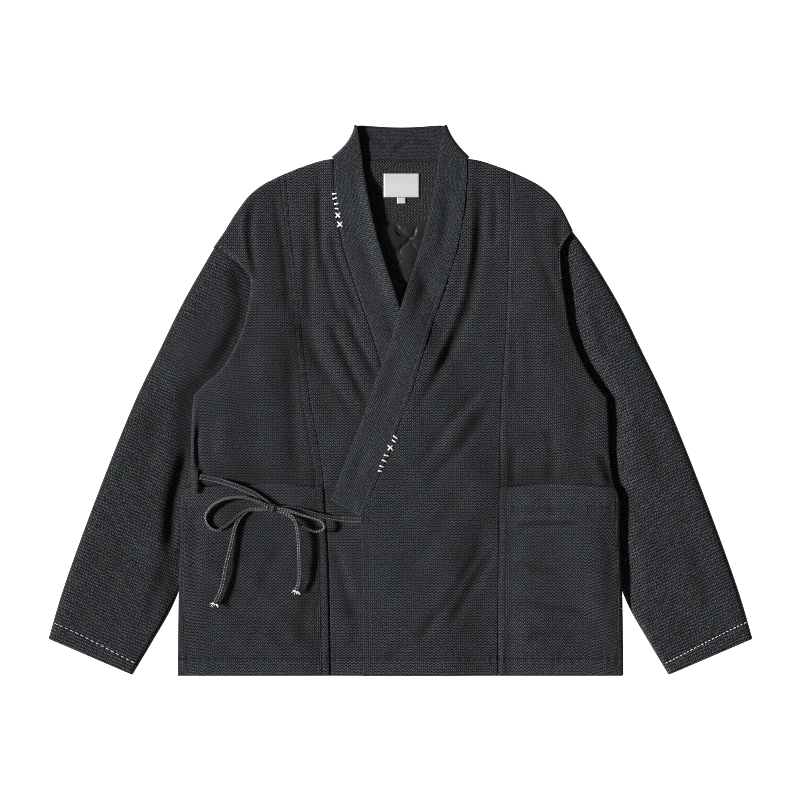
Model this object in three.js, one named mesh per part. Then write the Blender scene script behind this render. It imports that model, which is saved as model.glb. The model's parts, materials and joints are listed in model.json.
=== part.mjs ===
// A padded kimono-style jacket, laid flat on its back with both sleeves drawn down beside the body.
// Millimetres. X runs across the jacket, Y from the hem (-) to the collar (+), Z up from the surface
// that it lies on. "Under" is the front at -X, and "over" is the front at +X, which laps across it.
import * as THREE from 'three';

const jacket = {
  hemHalf: 300, hemY: -371.4, neckY: 321.7, frontEdgeX: -51, wall: 4.6, backWall: 4, layerGap: 0.8,
};
const edge = {
  roll: 7, firstStep: 2, topDrop: 0.42, baseRise: 0.2, seamDip: 0.8,
  seamGap: 0.3, collarGap: 1.3, headGap: 1.6,
};
const puff = { side: 1, centre: 0.8 };
const band = { thick: 5.6, base: 7, hiddenBase: 5.3, foldRadius: 3.5, foldSteps: 4, perRow: 2 };
const sleeve = {
  puff: 11, pressed: 4.8, roll: 10, wallShare: 0.36, slitInset: 0.035, pressedPast: 12, rampFromBody: 46,
  cuffRamp: [-330, -280], edgeDrop: 0.55, edgeRise: 0.45, across: 160,
};
const tuck = { lift: 5.8, ramp: 80, ease: 0.9, fade: 110, start: { under: 150, over: 190 } };
const lap = { overBand: 13.4, overCloth: 11.3, blendLow: 10, blendHigh: 70, ramp: 60, margin: 2 };
const pocket = { thick: 3.2, gap: 0.5, mouthY: -118, mouthGape: 2.2, gapeLength: 52 };
const panelFoot = { y: 2, share: 0.45 };
const pocketMouth = (panelFoot.y - pocket.mouthY) / (panelFoot.y - jacket.hemY);
const lapEnd = (panelFoot.y + 158) / (panelFoot.y - jacket.hemY);
const backSpread = -0.02;
const inside = {
  gap: 0.5, facingTop: 6.4, liningTop: 6.3,
  quiltHigh: 2, quiltWide: 52, quiltTall: 63, quiltX: 9, quiltY: 217.7,
};
const label = { width: 48, height: 32, x: 1.3, y: 289, thick: 0.7, tabWidth: 12, tabHeight: 8 };
const tie = { width: 9, thick: 2.2, edge: 1.2 };
const knot = { x: -172.5, y: -144, rx: 11, ry: 9, rz: 6.2, clear: 0.78, seat: -0.6 };

const colours = {
  back: '#2f3336', side: '#373b3e', centre: '#33373a', sleeve: '#3b3f42', collar: '#3e4245',
  pocket: '#35393c', facing: '#303437', lining: '#26262a', label: '#d6d9d7', tie: '#44484b',
};

// Tables: one row for each section or fold, with the columns named first.
function table(columns, rows) {
  return rows.map((row) => Object.fromEntries(columns.map((name, i) => [name, row[i]])));
}
const edgeLine = (rows) => table(['x', 'y'], rows);

// Seams and edges run down the jacket. Their x is counted outwards from the middle.
const shoulder = edgeLine([[96.5, 320.6], [142, 309.4], [180, 293], [202, 277], [215, 261], [226, 245]]);
const sleeveOuter = edgeLine([[294, 131], [326, 66], [357, 2], [409, -127], [456, -257], [475, -321.5]]);
const sleeveInner = edgeLine([
  [245, 4], [254, -40], [263, -110], [278, -190], [306, -273], [335, -325], [362, -370],
]);
const sideEdge = edgeLine([
  [281, -30], [283, -85], [288, -112], [295, -130], [296, -180], [298.5, -257], [300, -371.4],
]);
const armhole = {
  under: edgeLine([
    [252, 205], [222, 185], [203, 164], [202, 146], [206, 120], [216, 87], [229, 60], [242, 40],
    [263, 22], [279, 5],
  ]),
  over: edgeLine([
    [232, 228], [220, 211], [216, 200], [217, 168], [222, 134], [229, 94], [239, 66], [253, 38],
    [266, 19], [279, 2],
  ]),
};
const sleeveHead = {
  under: edgeLine([
    [252, 205], [222, 185], [203, 164], [197, 145], [196, 118], [202, 84], [212, 52], [226, 26], [245, 4],
  ]),
  over: edgeLine([
    [232, 228], [220, 211], [216, 200], [208, 168], [208, 134], [212, 94], [220, 60], [231, 30], [245, 4],
  ]),
};
const panelSeam = {
  under: edgeLine([
    [158, 301.5], [148, 215], [139, 107], [124, -1], [113, -108], [108, -250], [106.5, -371.4],
  ]),
  over: edgeLine([
    [150, 305.5], [149.6, 228], [143, 94], [135, -1], [133.5, -108], [132, -216], [131, -371.4],
  ]),
};
// The collar band along a front: a row for each section, its seam edge and its free edge.
const bandRows = (rows) => table(['seamX', 'seamY', 'freeX', 'freeY'], rows);
const bandFront = bandRows([
  [90, 298, 47.5, 300], [86, 255, 40, 260], [78, 210, 31, 222], [65, 166, 19, 182], [52, 128, 6, 144],
  [39, 90, -5.5, 106], [27, 50, -17, 66], [13.5, 6, -34, 26], [0, -28, -45, -8], [-13.5, -68, -61, -50],
  [-30, -104, -76, -88], [-40.5, -131, -85, -111], [-51, -158, -94, -134],
]);
const bandTurn = bandRows([[89, 318, 53, 339], [87.6, 323, 59.6, 368.7]]);
const bandBack = bandRows([
  [72, 322.3, 54, 369.6], [45, 322.3, 40, 369], [18, 322.3, 18, 367.6], [0, 322.3, 0, 367.2],
]);

// The hidden right-hand end of the lower front and its collar, under the upper front.
const hiddenEnd = edgeLine([
  [-60, 330], [-44, 270], [-20, 182], [-6, 144], [5.5, 106], [17, 66], [34, 26], [45, -8], [61, -50],
  [76, -88], [97, -140], [66, -172], [52, -205], [52, -371.4],
]);

// The largest folds of the fronts: from a to b, the depth at the middle and the half width.
const foldRows = (rows) => table(['ax', 'ay', 'bx', 'by', 'deep', 'half'], rows);
const folds = {
  under: foldRows([
    [-108, 290, -106, 170, -1.9, 9], [-86, 225, -48, 40, -2.1, 11], [-128, 225, -121, 110, -1.4, 8],
    [-148, 90, -148, -100, -1.5, 16], [-193, 275, -203, 200, -2, 10], [-88, -215, -62, -330, -1.5, 12],
  ]),
  over: foldRows([
    [104, 300, 100, 150, -2, 10], [96, 150, 30, -10, -2.3, 12], [112, -5, 52, -112, -1.8, 12],
    [112, -170, 14, -335, -2, 13], [212, 262, 216, 190, -2, 10], [175, 240, 160, 60, -1.4, 16],
  ]),
};

// The ties: points along each, with how far its middle lies above the cloth. An end on the knot is given
// by its bearing from the middle of the knot, in degrees, and its height from there.
const tieRows = (rows) => table(['x', 'y', 'rise'], rows);
const tieRoutes = {
  tie_side: {
    to: { bearing: 140, z: -2.2 },
    route: tieRows([[-270.1, -103, 1.9], [-248, -107, 2.2], [-222, -115, 2.2], [-198, -125, 2.8]]),
  },
  tie_front: {
    to: { bearing: 8, z: -2.6 },
    route: tieRows([[-51.2, -163.2, 3.4], [-80, -161, 2.6], [-107, -156.5, 2.4], [-136, -149, 2.6]]),
  },
  bow_loop_left: {
    from: { bearing: 166, z: 2.8 }, to: { bearing: 186, z: -1.6 },
    route: tieRows([
      [-194, -136, 9.4], [-207, -131.5, 9], [-224, -131, 7.8], [-241, -135, 6], [-256, -145, 4.4],
      [-262, -158, 3.2], [-257, -170, 2.6], [-247, -175, 3], [-236, -171, 3.9], [-224, -161.5, 4.7],
      [-211, -151, 5], [-197, -146.5, 5],
    ]),
  },
  bow_loop_right: {
    from: { bearing: -12, z: 3.5 }, to: { bearing: -42, z: -1.2 },
    route: tieRows([
      [-151, -148, 9.2], [-136, -153.5, 8.6], [-120, -158, 7.6], [-107, -163, 6.6], [-102, -171, 4.8],
      [-109, -177, 3.6], [-122, -174.5, 4], [-136, -166.5, 4.8], [-149, -156.5, 5.2],
    ]),
  },
  bow_tail_left: {
    from: { bearing: 200, z: -4.8 },
    route: tieRows([
      [-192, -149, 1.9], [-206, -152, 1.8], [-217, -159, 1.8], [-225, -173, 1.8], [-231, -195, 1.8],
      [-236, -220, 1.8], [-242, -248, 1.8], [-249, -273, 1.7],
    ]),
  },
  bow_tail_right: {
    from: { bearing: -62, z: -4.8 },
    route: tieRows([
      [-160, -161, 2], [-151, -169, 1.8], [-144, -182, 1.8], [-140.5, -198, 1.8], [-139.5, -220, 1.8],
      [-140, -240, 1.8], [-141, -258, 1.7],
    ]),
  },
};
const tieTab = { x: -277, halfWidth: 5.6, topY: -94, bottomY: -126, thick: 2.6, gap: -0.5 };

const { lerp: mix, smoothstep: smooth } = THREE.MathUtils;
const sideOf = (x) => (x < 0 ? 'under' : 'over');

// The x of an edge line at height y.
function xAt(rows, y) {
  const next = rows.findIndex((row) => y >= row.y);
  if (next === 0) return rows[0].x;
  if (next < 0) return rows[rows.length - 1].x;
  const [upper, lower] = [rows[next - 1], rows[next]];
  return mix(lower.x, upper.x, (y - lower.y) / (upper.y - lower.y));
}

const tuckLine = {
  under: [...sleeveHead.under.slice(2), ...sleeveInner.slice(1)],
  over: [...sleeveHead.over.slice(2), ...sleeveInner.slice(1)],
};
const bodyLine = {
  under: [...armhole.under.slice(2), ...sideEdge],
  over: [...armhole.over.slice(2), ...sideEdge],
};

// How far the body is raised where it lies on the tucked edge of a sleeve.
function tuckLift(x, y) {
  const name = sideOf(x);
  const inner = xAt(tuckLine[name], y);
  const start = tuck.start[name];
  const high = 1 - smooth(y, start, start + tuck.fade);
  return tuck.lift * high * smooth(Math.abs(x), inner - tuck.ramp, inner - 1);
}

// The fronts lie on the back, and bridge its slope beside the sleeve a little.
function frontBase(x, y) {
  const lift = tuckLift(x, y);
  const slope = lift / tuck.lift;
  return lift + jacket.backWall + jacket.layerGap + tuck.ease * 4 * slope * (1 - slope);
}

// The upper front and its collar rise over the hidden end of the lower ones.
function overBase(x, y) {
  const flat = frontBase(x, y);
  const high = mix(lap.overCloth, lap.overBand, smooth(y, lap.blendLow, lap.blendHigh));
  const end = xAt(hiddenEnd, y) + lap.margin;
  return flat + Math.max(high - flat, 0) * (1 - smooth(x, end, end + lap.ramp));
}
const bandLow = (y) => mix(band.hiddenBase, band.base, smooth(y, lap.blendLow, lap.blendHigh));
const bandBase = {
  under: (x, y) => bandLow(y),
  over: (x, y) => Math.max(overBase(x, y), bandLow(y)),
};

function foldDepth(rows, x, y) {
  let depth = 0;
  for (const fold of rows) {
    const [runX, runY, fromX, fromY] = [fold.bx - fold.ax, fold.by - fold.ay, x - fold.ax, y - fold.ay];
    const length = Math.hypot(runX, runY);
    const along = (fromX * runX + fromY * runY) / length ** 2;
    const across = (fromX * runY - fromY * runX) / length;
    const ends = smooth(along, -0.1, 0.3) * (1 - smooth(along, 0.7, 1.1));
    depth += fold.deep * ends * Math.exp(-((across / fold.half) ** 2));
  }
  return depth;
}

// A quarter-round edge: how much of its full drop a face has at this distance from the edge.
const roll = (distance, radius) => 1 - Math.sqrt(1 - (1 - Math.min(distance / radius, 1)) ** 2);

// A smooth edge through points, read by the share of its length.
const flatPoint = (x, y) => new THREE.Vector3(x, y, 0);
const points = (rows, side, shift = 0) => rows.map((row) => flatPoint(side * (row.x + shift), row.y));
const along = (list) => new THREE.CatmullRomCurve3(list, false, 'centripetal');
const straight = (ax, ay, bx, by) => new THREE.LineCurve3(flatPoint(ax, ay), flatPoint(bx, by));

// A panel between four edges: u runs from its start edge to its end edge, v from its top to its bottom.
function panel(top, bottom, start, end) {
  const corner = (curve, t) => curve.getPointAt(t);
  return (u, v) => {
    const place = top.getPointAt(u).multiplyScalar(1 - v).addScaledVector(bottom.getPointAt(u), v);
    place.addScaledVector(start.getPointAt(v), 1 - u).addScaledVector(end.getPointAt(v), u);
    place.addScaledVector(corner(top, 0), -(1 - u) * (1 - v)).addScaledVector(corner(top, 1), -u * (1 - v));
    return place.addScaledVector(corner(bottom, 0), -(1 - u) * v).addScaledVector(corner(bottom, 1), -u * v);
  };
}

// Even steps from 0 to 1, with finer ones at both ends for a rounded edge.
function stops(count, length) {
  const near = [0, edge.firstStep / length, edge.roll / length];
  const far = near.map((stop) => 1 - stop).reverse();
  const even = Array.from({ length: count - 1 }, (_, i) => mix(near[2], far[0], (i + 1) / count));
  return [...near, ...even, ...far];
}
const evenStops = (count) => Array.from({ length: count + 1 }, (_, i) => i / count);

const group = new THREE.Group();
const clothOf = (colour) => new THREE.MeshStandardMaterial({ color: colour, roughness: 0.92, metalness: 0 });

function addMesh(name, vertices, faces, colour) {
  const sixVolume = ([a, b, c]) => vertices[a].dot(vertices[b].clone().cross(vertices[c]));
  const sixVolumes = faces.reduce((sum, face) => sum + sixVolume(face), 0);
  const outward = sixVolumes < 0 ? faces.map(([a, b, c]) => [c, b, a]) : faces;
  const geometry = new THREE.BufferGeometry().setFromPoints(vertices).setIndex(outward.flat());
  geometry.computeVertexNormals();
  const mesh = new THREE.Mesh(geometry, clothOf(colour));
  mesh.name = name;
  group.add(mesh);
}

const quad = (a, b, c, d) => [[a, b, c], [a, c, d]];

// A closed wall of cloth over a grid: its upper face, its lower face and the rim that joins them.
function addWall(name, place, us, vs, lower, upper, colour) {
  const vertices = [];
  for (const face of [upper, lower]) {
    for (const v of vs) {
      for (const u of us) {
        const { x, y } = place(u, v);
        vertices.push(new THREE.Vector3(x, y, face(x, y, u, v)));
      }
    }
  }
  const [wide, tall] = [us.length, vs.length];
  const below = wide * tall;
  const at = (i, j) => j * wide + i;
  const faces = [];
  const rim = [];
  for (let j = 0; j < tall - 1; j += 1) {
    for (let i = 0; i < wide - 1; i += 1) {
      const cell = [at(i, j), at(i, j + 1), at(i + 1, j + 1), at(i + 1, j)];
      faces.push(...quad(...cell), ...quad(...cell.map((k) => k + below)).map((face) => face.reverse()));
    }
  }
  for (let i = 0; i < wide - 1; i += 1) rim.push(at(i, 0));
  for (let j = 0; j < tall - 1; j += 1) rim.push(at(wide - 1, j));
  for (let i = wide - 1; i > 0; i -= 1) rim.push(at(i, tall - 1));
  for (let j = tall - 1; j > 0; j -= 1) rim.push(at(0, j));
  rim.forEach((a, k) => {
    const b = rim[(k + 1) % rim.length];
    faces.push(...quad(a, b, b + below, a + below));
  });
  addMesh(name, vertices, faces, colour);
}

// The quads between neighbouring rings of a sweep.
function ringFaces(rings, first, faces) {
  const size = rings[0].length;
  for (let r = 0; r < rings.length - 1; r += 1) {
    for (let k = 0; k < size; k += 1) {
      const [a, b] = [first + r * size + k, first + r * size + ((k + 1) % size)];
      faces.push(...quad(a, b, b + size, a + size));
    }
  }
}

// A solid sweep of rings. A ring runs along its upper face and back along its lower face.
function addSweep(name, rings, colour) {
  const faces = [];
  const size = rings[0].length;
  const last = (rings.length - 1) * size;
  ringFaces(rings, 0, faces);
  for (let k = 0; k < size / 2 - 1; k += 1) {
    const cell = [size - 1 - k, size - 2 - k, k + 1, k];
    faces.push(...quad(...cell), ...quad(...cell.map((index) => index + last).reverse()));
  }
  addMesh(name, rings.flat(), faces, colour);
}

// A tube of cloth: outer rings, inner rings and the two open ends.
function addTube(name, outer, inner, colour) {
  const faces = [];
  const lining = [];
  const size = outer[0].length;
  const innerStart = outer.length * size;
  ringFaces(outer, 0, faces);
  ringFaces(inner, innerStart, lining);
  faces.push(...lining.map((face) => face.reverse()));
  for (let k = 0; k < size; k += 1) {
    const next = (k + 1) % size;
    const cell = [next, k, innerStart + k, innerStart + next];
    faces.push(...quad(...cell), ...quad(...cell.map((index) => index + innerStart - size).reverse()));
  }
  addMesh(name, [...outer, ...inner].flat(), faces, colour);
}

// How close a point is to a panel's open edges and to its sewn edges.
function distances(u, v, width, length, sewn) {
  const all = { start: u * width, end: (1 - u) * width, top: v * length, bottom: (1 - v) * length };
  const farAway = 1000;
  const nearest = (names) => Math.min(...names.map((name) => all[name]), farAway);
  const open = Object.keys(all).filter((name) => !sewn.includes(name));
  return { open: nearest(open), seam: nearest(sewn) };
}

// The upper and lower faces of a padded wall, from the surface under it.
function paddedFaces({ base, thick, width, length, sewn = [], relief = () => 0 }) {
  return {
    upper(x, y, u, v) {
      const near = distances(u, v, width, length, sewn);
      const drop = edge.topDrop * thick * roll(near.open, edge.roll);
      const dip = edge.seamDip * roll(near.seam, edge.roll);
      return base(x, y, u, v) + thick + relief(x, y, u, v) - drop - dip;
    },
    lower(x, y, u, v) {
      const near = distances(u, v, width, length, sewn);
      return base(x, y, u, v) + edge.baseRise * thick * roll(near.open, edge.roll);
    },
  };
}

// Edges down the jacket are in two parts, above and below the armhole's foot, so that the rows
// run level below it.
function downEdge(rows, side, shift = 0) {
  const foot = { x: xAt(rows, panelFoot.y), y: panelFoot.y };
  const upper = along(points([...rows.filter((row) => row.y > foot.y + 1), foot], side, shift));
  const lower = along(points([foot, ...rows.filter((row) => row.y < foot.y - 1)], side, shift)).getPoints(80);
  return {
    getPointAt(t) {
      if (t < panelFoot.share) return upper.getPointAt(t / panelFoot.share);
      const y = mix(foot.y, jacket.hemY, (t - panelFoot.share) / (1 - panelFoot.share));
      return flatPoint(xAt(lower, y), y);
    },
  };
}
const upperRows = [0, 0.007, 0.023, 0.065, 0.12, 0.165, 0.21, 0.27, 0.36, 0.48, 0.6, 0.73, 0.87];
const lowerRows = [0, 0.11, 0.22, pocketMouth, 0.37, lapEnd, 0.56, 0.67, 0.78, 0.89, 0.98, 0.995, 1];
const bodyRows = [
  ...upperRows.map((t) => t * panelFoot.share), ...lowerRows.map((t) => mix(panelFoot.share, 1, t)),
];
const hem = (ax, bx) => straight(ax, jacket.hemY, bx, jacket.hemY);
const outerEdge = (name, side) => downEdge([...armhole[name], ...sideEdge], side);

// The back: one panel, flat on the surface between the sleeves' tucked edges.
const shoulders = {
  under: points([...shoulder, ...edgeLine([[236, 228.5]]), armhole.under[0]], -1),
  over: points([...shoulder.slice(0, -1), armhole.over[0]], 1),
};
const neckLine = [-60, 0, 60].map((x) => flatPoint(x, jacket.neckY - 1));
const backSize = { width: 2 * jacket.hemHalf, length: 660 };
const backFaces = paddedFaces({ base: tuckLift, thick: jacket.backWall, ...backSize });
const backColumns = stops(20, backSize.width).map((u) => u + backSpread * Math.sin(4 * Math.PI * u));
const backPlace = panel(
  along([...shoulders.under.slice().reverse(), ...neckLine, ...shoulders.over]),
  hem(-jacket.hemHalf, jacket.hemHalf),
  outerEdge('under', -1),
  outerEdge('over', 1),
);
addWall('back', backPlace, backColumns, bodyRows, backFaces.lower, backFaces.upper, colours.back);

// The fronts: a centre panel and a side panel on each, joined by the panel seam.
const collarEdgeRows = [
  shoulder[0],
  ...bandFront.map((row) => ({ x: row.seamX, y: row.seamY })),
  ...edgeLine([[jacket.frontEdgeX, -230], [jacket.frontEdgeX, jacket.hemY]]),
];
const bases = { under: frontBase, over: overBase };
const sides = { under: -1, over: 1 };
for (const [name, side] of Object.entries(sides)) {
  const seam = panelSeam[name];
  const halfGap = edge.seamGap / 2;
  const seamTop = (shift) => points(seam.slice(0, 1), side, shift)[0];
  const hemX = side * seam.at(-1).x;
  const nearNeck = shoulders[name].filter((point) => Math.abs(point.x) < seam[0].x);
  const nearArm = shoulders[name].filter((point) => Math.abs(point.x) > seam[0].x);
  const relief = (share) => (x, y, u) => share * Math.sin(Math.PI * u) + foldDepth(folds[name], x, y);

  const centreSize = { width: 130, length: 660 };
  const centre = paddedFaces({
    base: bases[name], thick: jacket.wall, ...centreSize, sewn: ['end'], relief: relief(puff.centre),
  });
  const frontX = side * (jacket.frontEdgeX + edge.collarGap);
  nearNeck[0] = points(shoulder.slice(0, 1), side, edge.collarGap)[0];
  const centrePlace = panel(
    along([...nearNeck, seamTop(-halfGap)]),
    hem(frontX, hemX - side * halfGap),
    downEdge(collarEdgeRows, side, edge.collarGap),
    downEdge(seam, side, -halfGap),
  );
  const centreColumns = stops(6, centreSize.width);
  const { lower, upper } = centre;
  addWall(`front_${name}_centre`, centrePlace, centreColumns, bodyRows, lower, upper, colours.centre);

  const sideSize = { width: 150, length: 660 };
  const sideFaces = paddedFaces({
    base: bases[name], thick: jacket.wall, ...sideSize, sewn: ['start'], relief: relief(puff.side),
  });
  const sidePlace = panel(
    along([seamTop(halfGap), ...nearArm]),
    hem(hemX + side * halfGap, side * jacket.hemHalf),
    downEdge(seam, side, halfGap),
    outerEdge(name, side),
  );
  const sideColumns = stops(7, sideSize.width);
  const [sideLower, sideUpper] = [sideFaces.lower, sideFaces.upper];
  addWall(`front_${name}_side`, sidePlace, sideColumns, bodyRows, sideLower, sideUpper, colours.side);

  // A patch pocket lies on the side panel, on the same grid, from its mouth down to the hem.
  const pocketRows = bodyRows.filter((v) => v >= mix(panelFoot.share, 1, pocketMouth));
  const belowMouth = (v) => (v - pocketRows[0]) * sideSize.length;
  const closing = (v) => smooth(belowMouth(v), 0, pocket.gapeLength);
  const gape = (u, v) => pocket.mouthGape * Math.sin(Math.PI * u) * (1 - closing(v));
  const under = (x, y, u, v) => sideFaces.upper(x, y, u, v) + pocket.gap + gape(u, v);
  const outside = (x, y, u, v) => {
    const drop = edge.topDrop * roll(belowMouth(v), edge.roll);
    return under(x, y, u, v) + pocket.thick * (1 - drop);
  };
  addWall(`pocket_${name}`, sidePlace, sideColumns.slice(1, -1), pocketRows, under, outside, colours.pocket);
}

// The top of the cloth that the ties lie on: the lower front and its pocket.
function restTop(x, y) {
  const overPocket = smooth(Math.abs(x), 92, 107) * (1 - smooth(y, pocket.mouthY + 2, pocket.mouthY + 18));
  const gape = pocket.mouthGape * (1 - smooth(pocket.mouthY - y, 0, pocket.gapeLength));
  return frontBase(x, y) + jacket.wall + puff.side + overPocket * (pocket.gap + pocket.thick + gape);
}

// The sleeves: flattened tubes of cloth with rounded edges, pressed where the body lies on them.
function sleeveTop(x, y) {
  const name = sideOf(x);
  const body = xAt(bodyLine[name], y);
  const start = tuck.start[name];
  const nearBody = 1 - smooth(Math.abs(x), body + sleeve.pressedPast, body + sleeve.rampFromBody);
  const belowHead = 1 - smooth(y, start, start + tuck.fade);
  const aboveCuff = smooth(y, sleeve.cuffRamp[0], sleeve.cuffRamp[1]);
  return mix(sleeve.puff, sleeve.pressed, nearBody * belowHead * aboveCuff);
}
for (const [name, side] of Object.entries(sides)) {
  const crown = name === 'over' ? edgeLine([[252, 205]]) : [];
  const outerLine = along(points([sleeveHead[name][0], ...crown, ...sleeveOuter], side, edge.headGap));
  const innerLine = along(points(sleeveInner, side, edge.headGap));
  const head = along(points(sleeveHead[name], side, edge.headGap));
  const [cuffOut, cuffIn] = points([sleeveOuter.at(-1), sleeveInner.at(-1)], side, edge.headGap);
  const cuff = straight(cuffOut.x, cuffOut.y, cuffIn.x, cuffIn.y);
  const place = panel(head, cuff, outerLine, innerLine);
  const us = [0, 0.012, 0.045, 0.1, 0.155, 0.21, 0.27, 0.34, 0.45, 0.58, 0.71, 0.84, 0.93, 0.98, 1];
  const ring = (v, acrossAt, floor, ceiling) => {
    const face = (height) => (u) => {
      const at = place(acrossAt(u), v);
      return at.setZ(sleeveTop(at.x, at.y) * height(u));
    };
    return [...us.map(face(ceiling)), ...us.slice(1, -1).reverse().map(face(floor))];
  };
  const turn = (u, radius) => roll(Math.min(u, 1 - u) * sleeve.across, radius);
  const outerFloor = (u) => sleeve.edgeRise * turn(u, sleeve.roll);
  const outerCeiling = (u) => 1 - sleeve.edgeDrop * turn(u, sleeve.roll);
  const slitFloor = (u) => mix(sleeve.wallShare, sleeve.edgeRise, turn(u, edge.roll));
  const slitCeiling = (u) => mix(1 - sleeve.wallShare, sleeve.edgeRise, turn(u, edge.roll));
  const slitU = (u) => mix(sleeve.slitInset, 1 - sleeve.slitInset, u);
  const vs = [0, 0.03, 0.07, 0.12, 0.18, 0.25, 0.33, 0.42, 0.52, 0.63, 0.75, 0.87, 0.97, 1];
  const outer = vs.map((v) => ring(v, (u) => u, outerFloor, outerCeiling));
  const inner = vs.map((v) => ring(v, slitU, slitFloor, slitCeiling));
  addTube(`sleeve_${name}`, outer, inner, colours.sleeve);
}

// The collar: one long band, turned over at both ends of the back neck.
function bandRing({ seam, free, height, normal }) {
  const across = [0, 0.05, 0.3, 0.7, 0.95, 1];
  const face = (sign) => (t) => {
    const middle = seam.clone().lerp(free, t);
    const half = (band.thick / 2) * (t === 0 || t === 1 ? 0.55 : 1);
    return middle.setZ(height(middle.x, middle.y)).addScaledVector(normal, sign * half);
  };
  return [...across.map(face(1)), ...across.slice().reverse().map(face(-1))];
}
function bandLine(rows, side, column, count) {
  const curve = along(rows.map((row) => flatPoint(side * row[`${column}X`], row[`${column}Y`])));
  return evenStops(count).map((t) => curve.getPoint(t));
}
function bandSide(name, side) {
  const up = new THREE.Vector3(0, 0, 1);
  const frontRows = [...bandFront.slice().reverse(), bandTurn[0]];
  const steps = (frontRows.length - 1) * band.perRow;
  const freeLine = bandLine(frontRows, side, 'free', steps);
  const rings = bandLine(frontRows, side, 'seam', steps).map((seam, i) => bandRing({
    seam, free: freeLine[i], normal: up, height: (x, y) => bandBase[name](x, y) + band.thick / 2,
  }));
  const axis = bandTurn[1];
  const seamEnd = flatPoint(side * axis.seamX, axis.seamY);
  const freeEnd = flatPoint(side * axis.freeX, axis.freeY);
  const run = freeEnd.clone().sub(seamEnd).normalize();
  const outward = new THREE.Vector3(side * Math.abs(run.y), Math.abs(run.x), 0);
  const foldMiddle = band.base + band.thick / 2 - band.foldRadius;
  for (let i = 0; i <= band.foldSteps; i += 1) {
    const angle = (Math.PI * i) / band.foldSteps;
    const normal = outward.clone().multiplyScalar(Math.sin(angle)).addScaledVector(up, Math.cos(angle));
    const shift = outward.clone().multiplyScalar(band.foldRadius * Math.sin(angle));
    const height = foldMiddle + band.foldRadius * Math.cos(angle);
    const [seam, free] = [seamEnd.clone().add(shift), freeEnd.clone().add(shift)];
    rings.push(bandRing({ seam, free, normal, height: () => height }));
  }
  const down = up.clone().negate();
  for (const row of bandBack) {
    const seam = flatPoint(side * row.seamX, row.seamY);
    const free = flatPoint(side * row.freeX, row.freeY);
    rings.push(bandRing({ seam, free, normal: down, height: () => band.thick / 2 }));
  }
  return rings;
}
const underRings = bandSide('under', -1);
const overRings = bandSide('over', 1).reverse();
addSweep('collar', [...underRings, ...overRings.slice(1)], colours.collar);

// Inside the neck: the facing, the quilted lining in the opening, a label and its size tab.
const insideBase = () => jacket.backWall + inside.gap;
function neckShape(rows) {
  const edges = edgeLine(rows);
  const [top, bottom] = [edges[0], edges.at(-1)];
  return panel(
    straight(-top.x, top.y, top.x, top.y), straight(-bottom.x, bottom.y, bottom.x, bottom.y),
    along(points(edges, -1)), along(points(edges, 1)),
  );
}
const facingPlace = neckShape([[58, 320.4], [45.5, 238.2]]);
const facingTop = () => inside.facingTop;
addWall('neck_facing', facingPlace, evenStops(6), evenStops(5), insideBase, facingTop, colours.facing);
const quilt = (x, y) => {
  const [a, b] = [(x - inside.quiltX) / inside.quiltWide, (y - inside.quiltY) / inside.quiltTall];
  return Math.abs(Math.sin(Math.PI * (a + b)) * Math.sin(Math.PI * (a - b))) ** 0.6;
};
const liningPlace = neckShape([[45.5, 237.8], [39.5, 220], [28, 182], [15, 144], [5, 112]]);
const liningTop = (x, y, u, v) => {
  const open = smooth(Math.min(u, 1 - u), 0.12, 0.3) * (1 - smooth(v, 0.6, 0.85));
  return inside.liningTop + inside.quiltHigh * quilt(x, y) * open;
};
addWall('lining', liningPlace, evenStops(14), evenStops(16), insideBase, liningTop, colours.lining);
function patchOf(x, y, width, height) {
  const [left, right, low, high] = [x - width / 2, x + width / 2, y - height / 2, y + height / 2];
  return panel(
    straight(left, high, right, high), straight(left, low, right, low),
    straight(left, high, left, low), straight(right, high, right, low),
  );
}
const onFacing = (rise) => () => inside.facingTop + edge.seamGap + rise;
const labelPlace = patchOf(label.x, label.y, label.width, label.height);
const tabY = label.y - (label.height + label.tabHeight) / 2 - edge.seamGap;
const tabPlace = patchOf(label.x, tabY, label.tabWidth, label.tabHeight);
const [labelLow, labelHigh] = [onFacing(0), onFacing(label.thick)];
addWall('neck_label', labelPlace, evenStops(3), evenStops(2), labelLow, labelHigh, colours.label);
addWall('size_tab', tabPlace, evenStops(1), evenStops(1), labelLow, labelHigh, colours.label);

// The ties: flat strips that run to the knot, two bow loops and two hanging ends.
const knotZ = restTop(knot.x, knot.y) + knot.seat + knot.rz;
function knotEnd({ bearing, z }) {
  const angle = THREE.MathUtils.degToRad(bearing);
  const [reachX, reachY] = [knot.rx + knot.clear, knot.ry + knot.clear];
  return new THREE.Vector3(knot.x + reachX * Math.cos(angle), knot.y + reachY * Math.sin(angle), knotZ + z);
}
function strip(route) {
  const path = along(route);
  return evenStops(2 * route.length).map((t) => {
    const middle = path.getPointAt(t);
    const tangent = path.getTangentAt(t);
    const wide = new THREE.Vector3(-tangent.y, tangent.x, 0).normalize();
    const high = tangent.clone().cross(wide).normalize();
    const corner = (w, h) => {
      const point = middle.clone().addScaledVector(wide, (w * tie.width) / 2);
      return point.addScaledVector(high, (h * tie.thick) / 2);
    };
    const flat = 1 - (2 * tie.edge) / tie.width;
    const upper = [corner(-1, 0), corner(-flat, 1), corner(flat, 1)];
    return [...upper, corner(1, 0), corner(flat, -1), corner(-flat, -1)];
  });
}
for (const [name, { from, to, route }] of Object.entries(tieRoutes)) {
  const list = route.map(({ x, y, rise }) => new THREE.Vector3(x, y, restTop(x, y) + rise));
  if (from) list.unshift(knotEnd(from));
  if (to) list.push(knotEnd(to));
  addSweep(name, strip(list), colours.tie);
}

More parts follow.
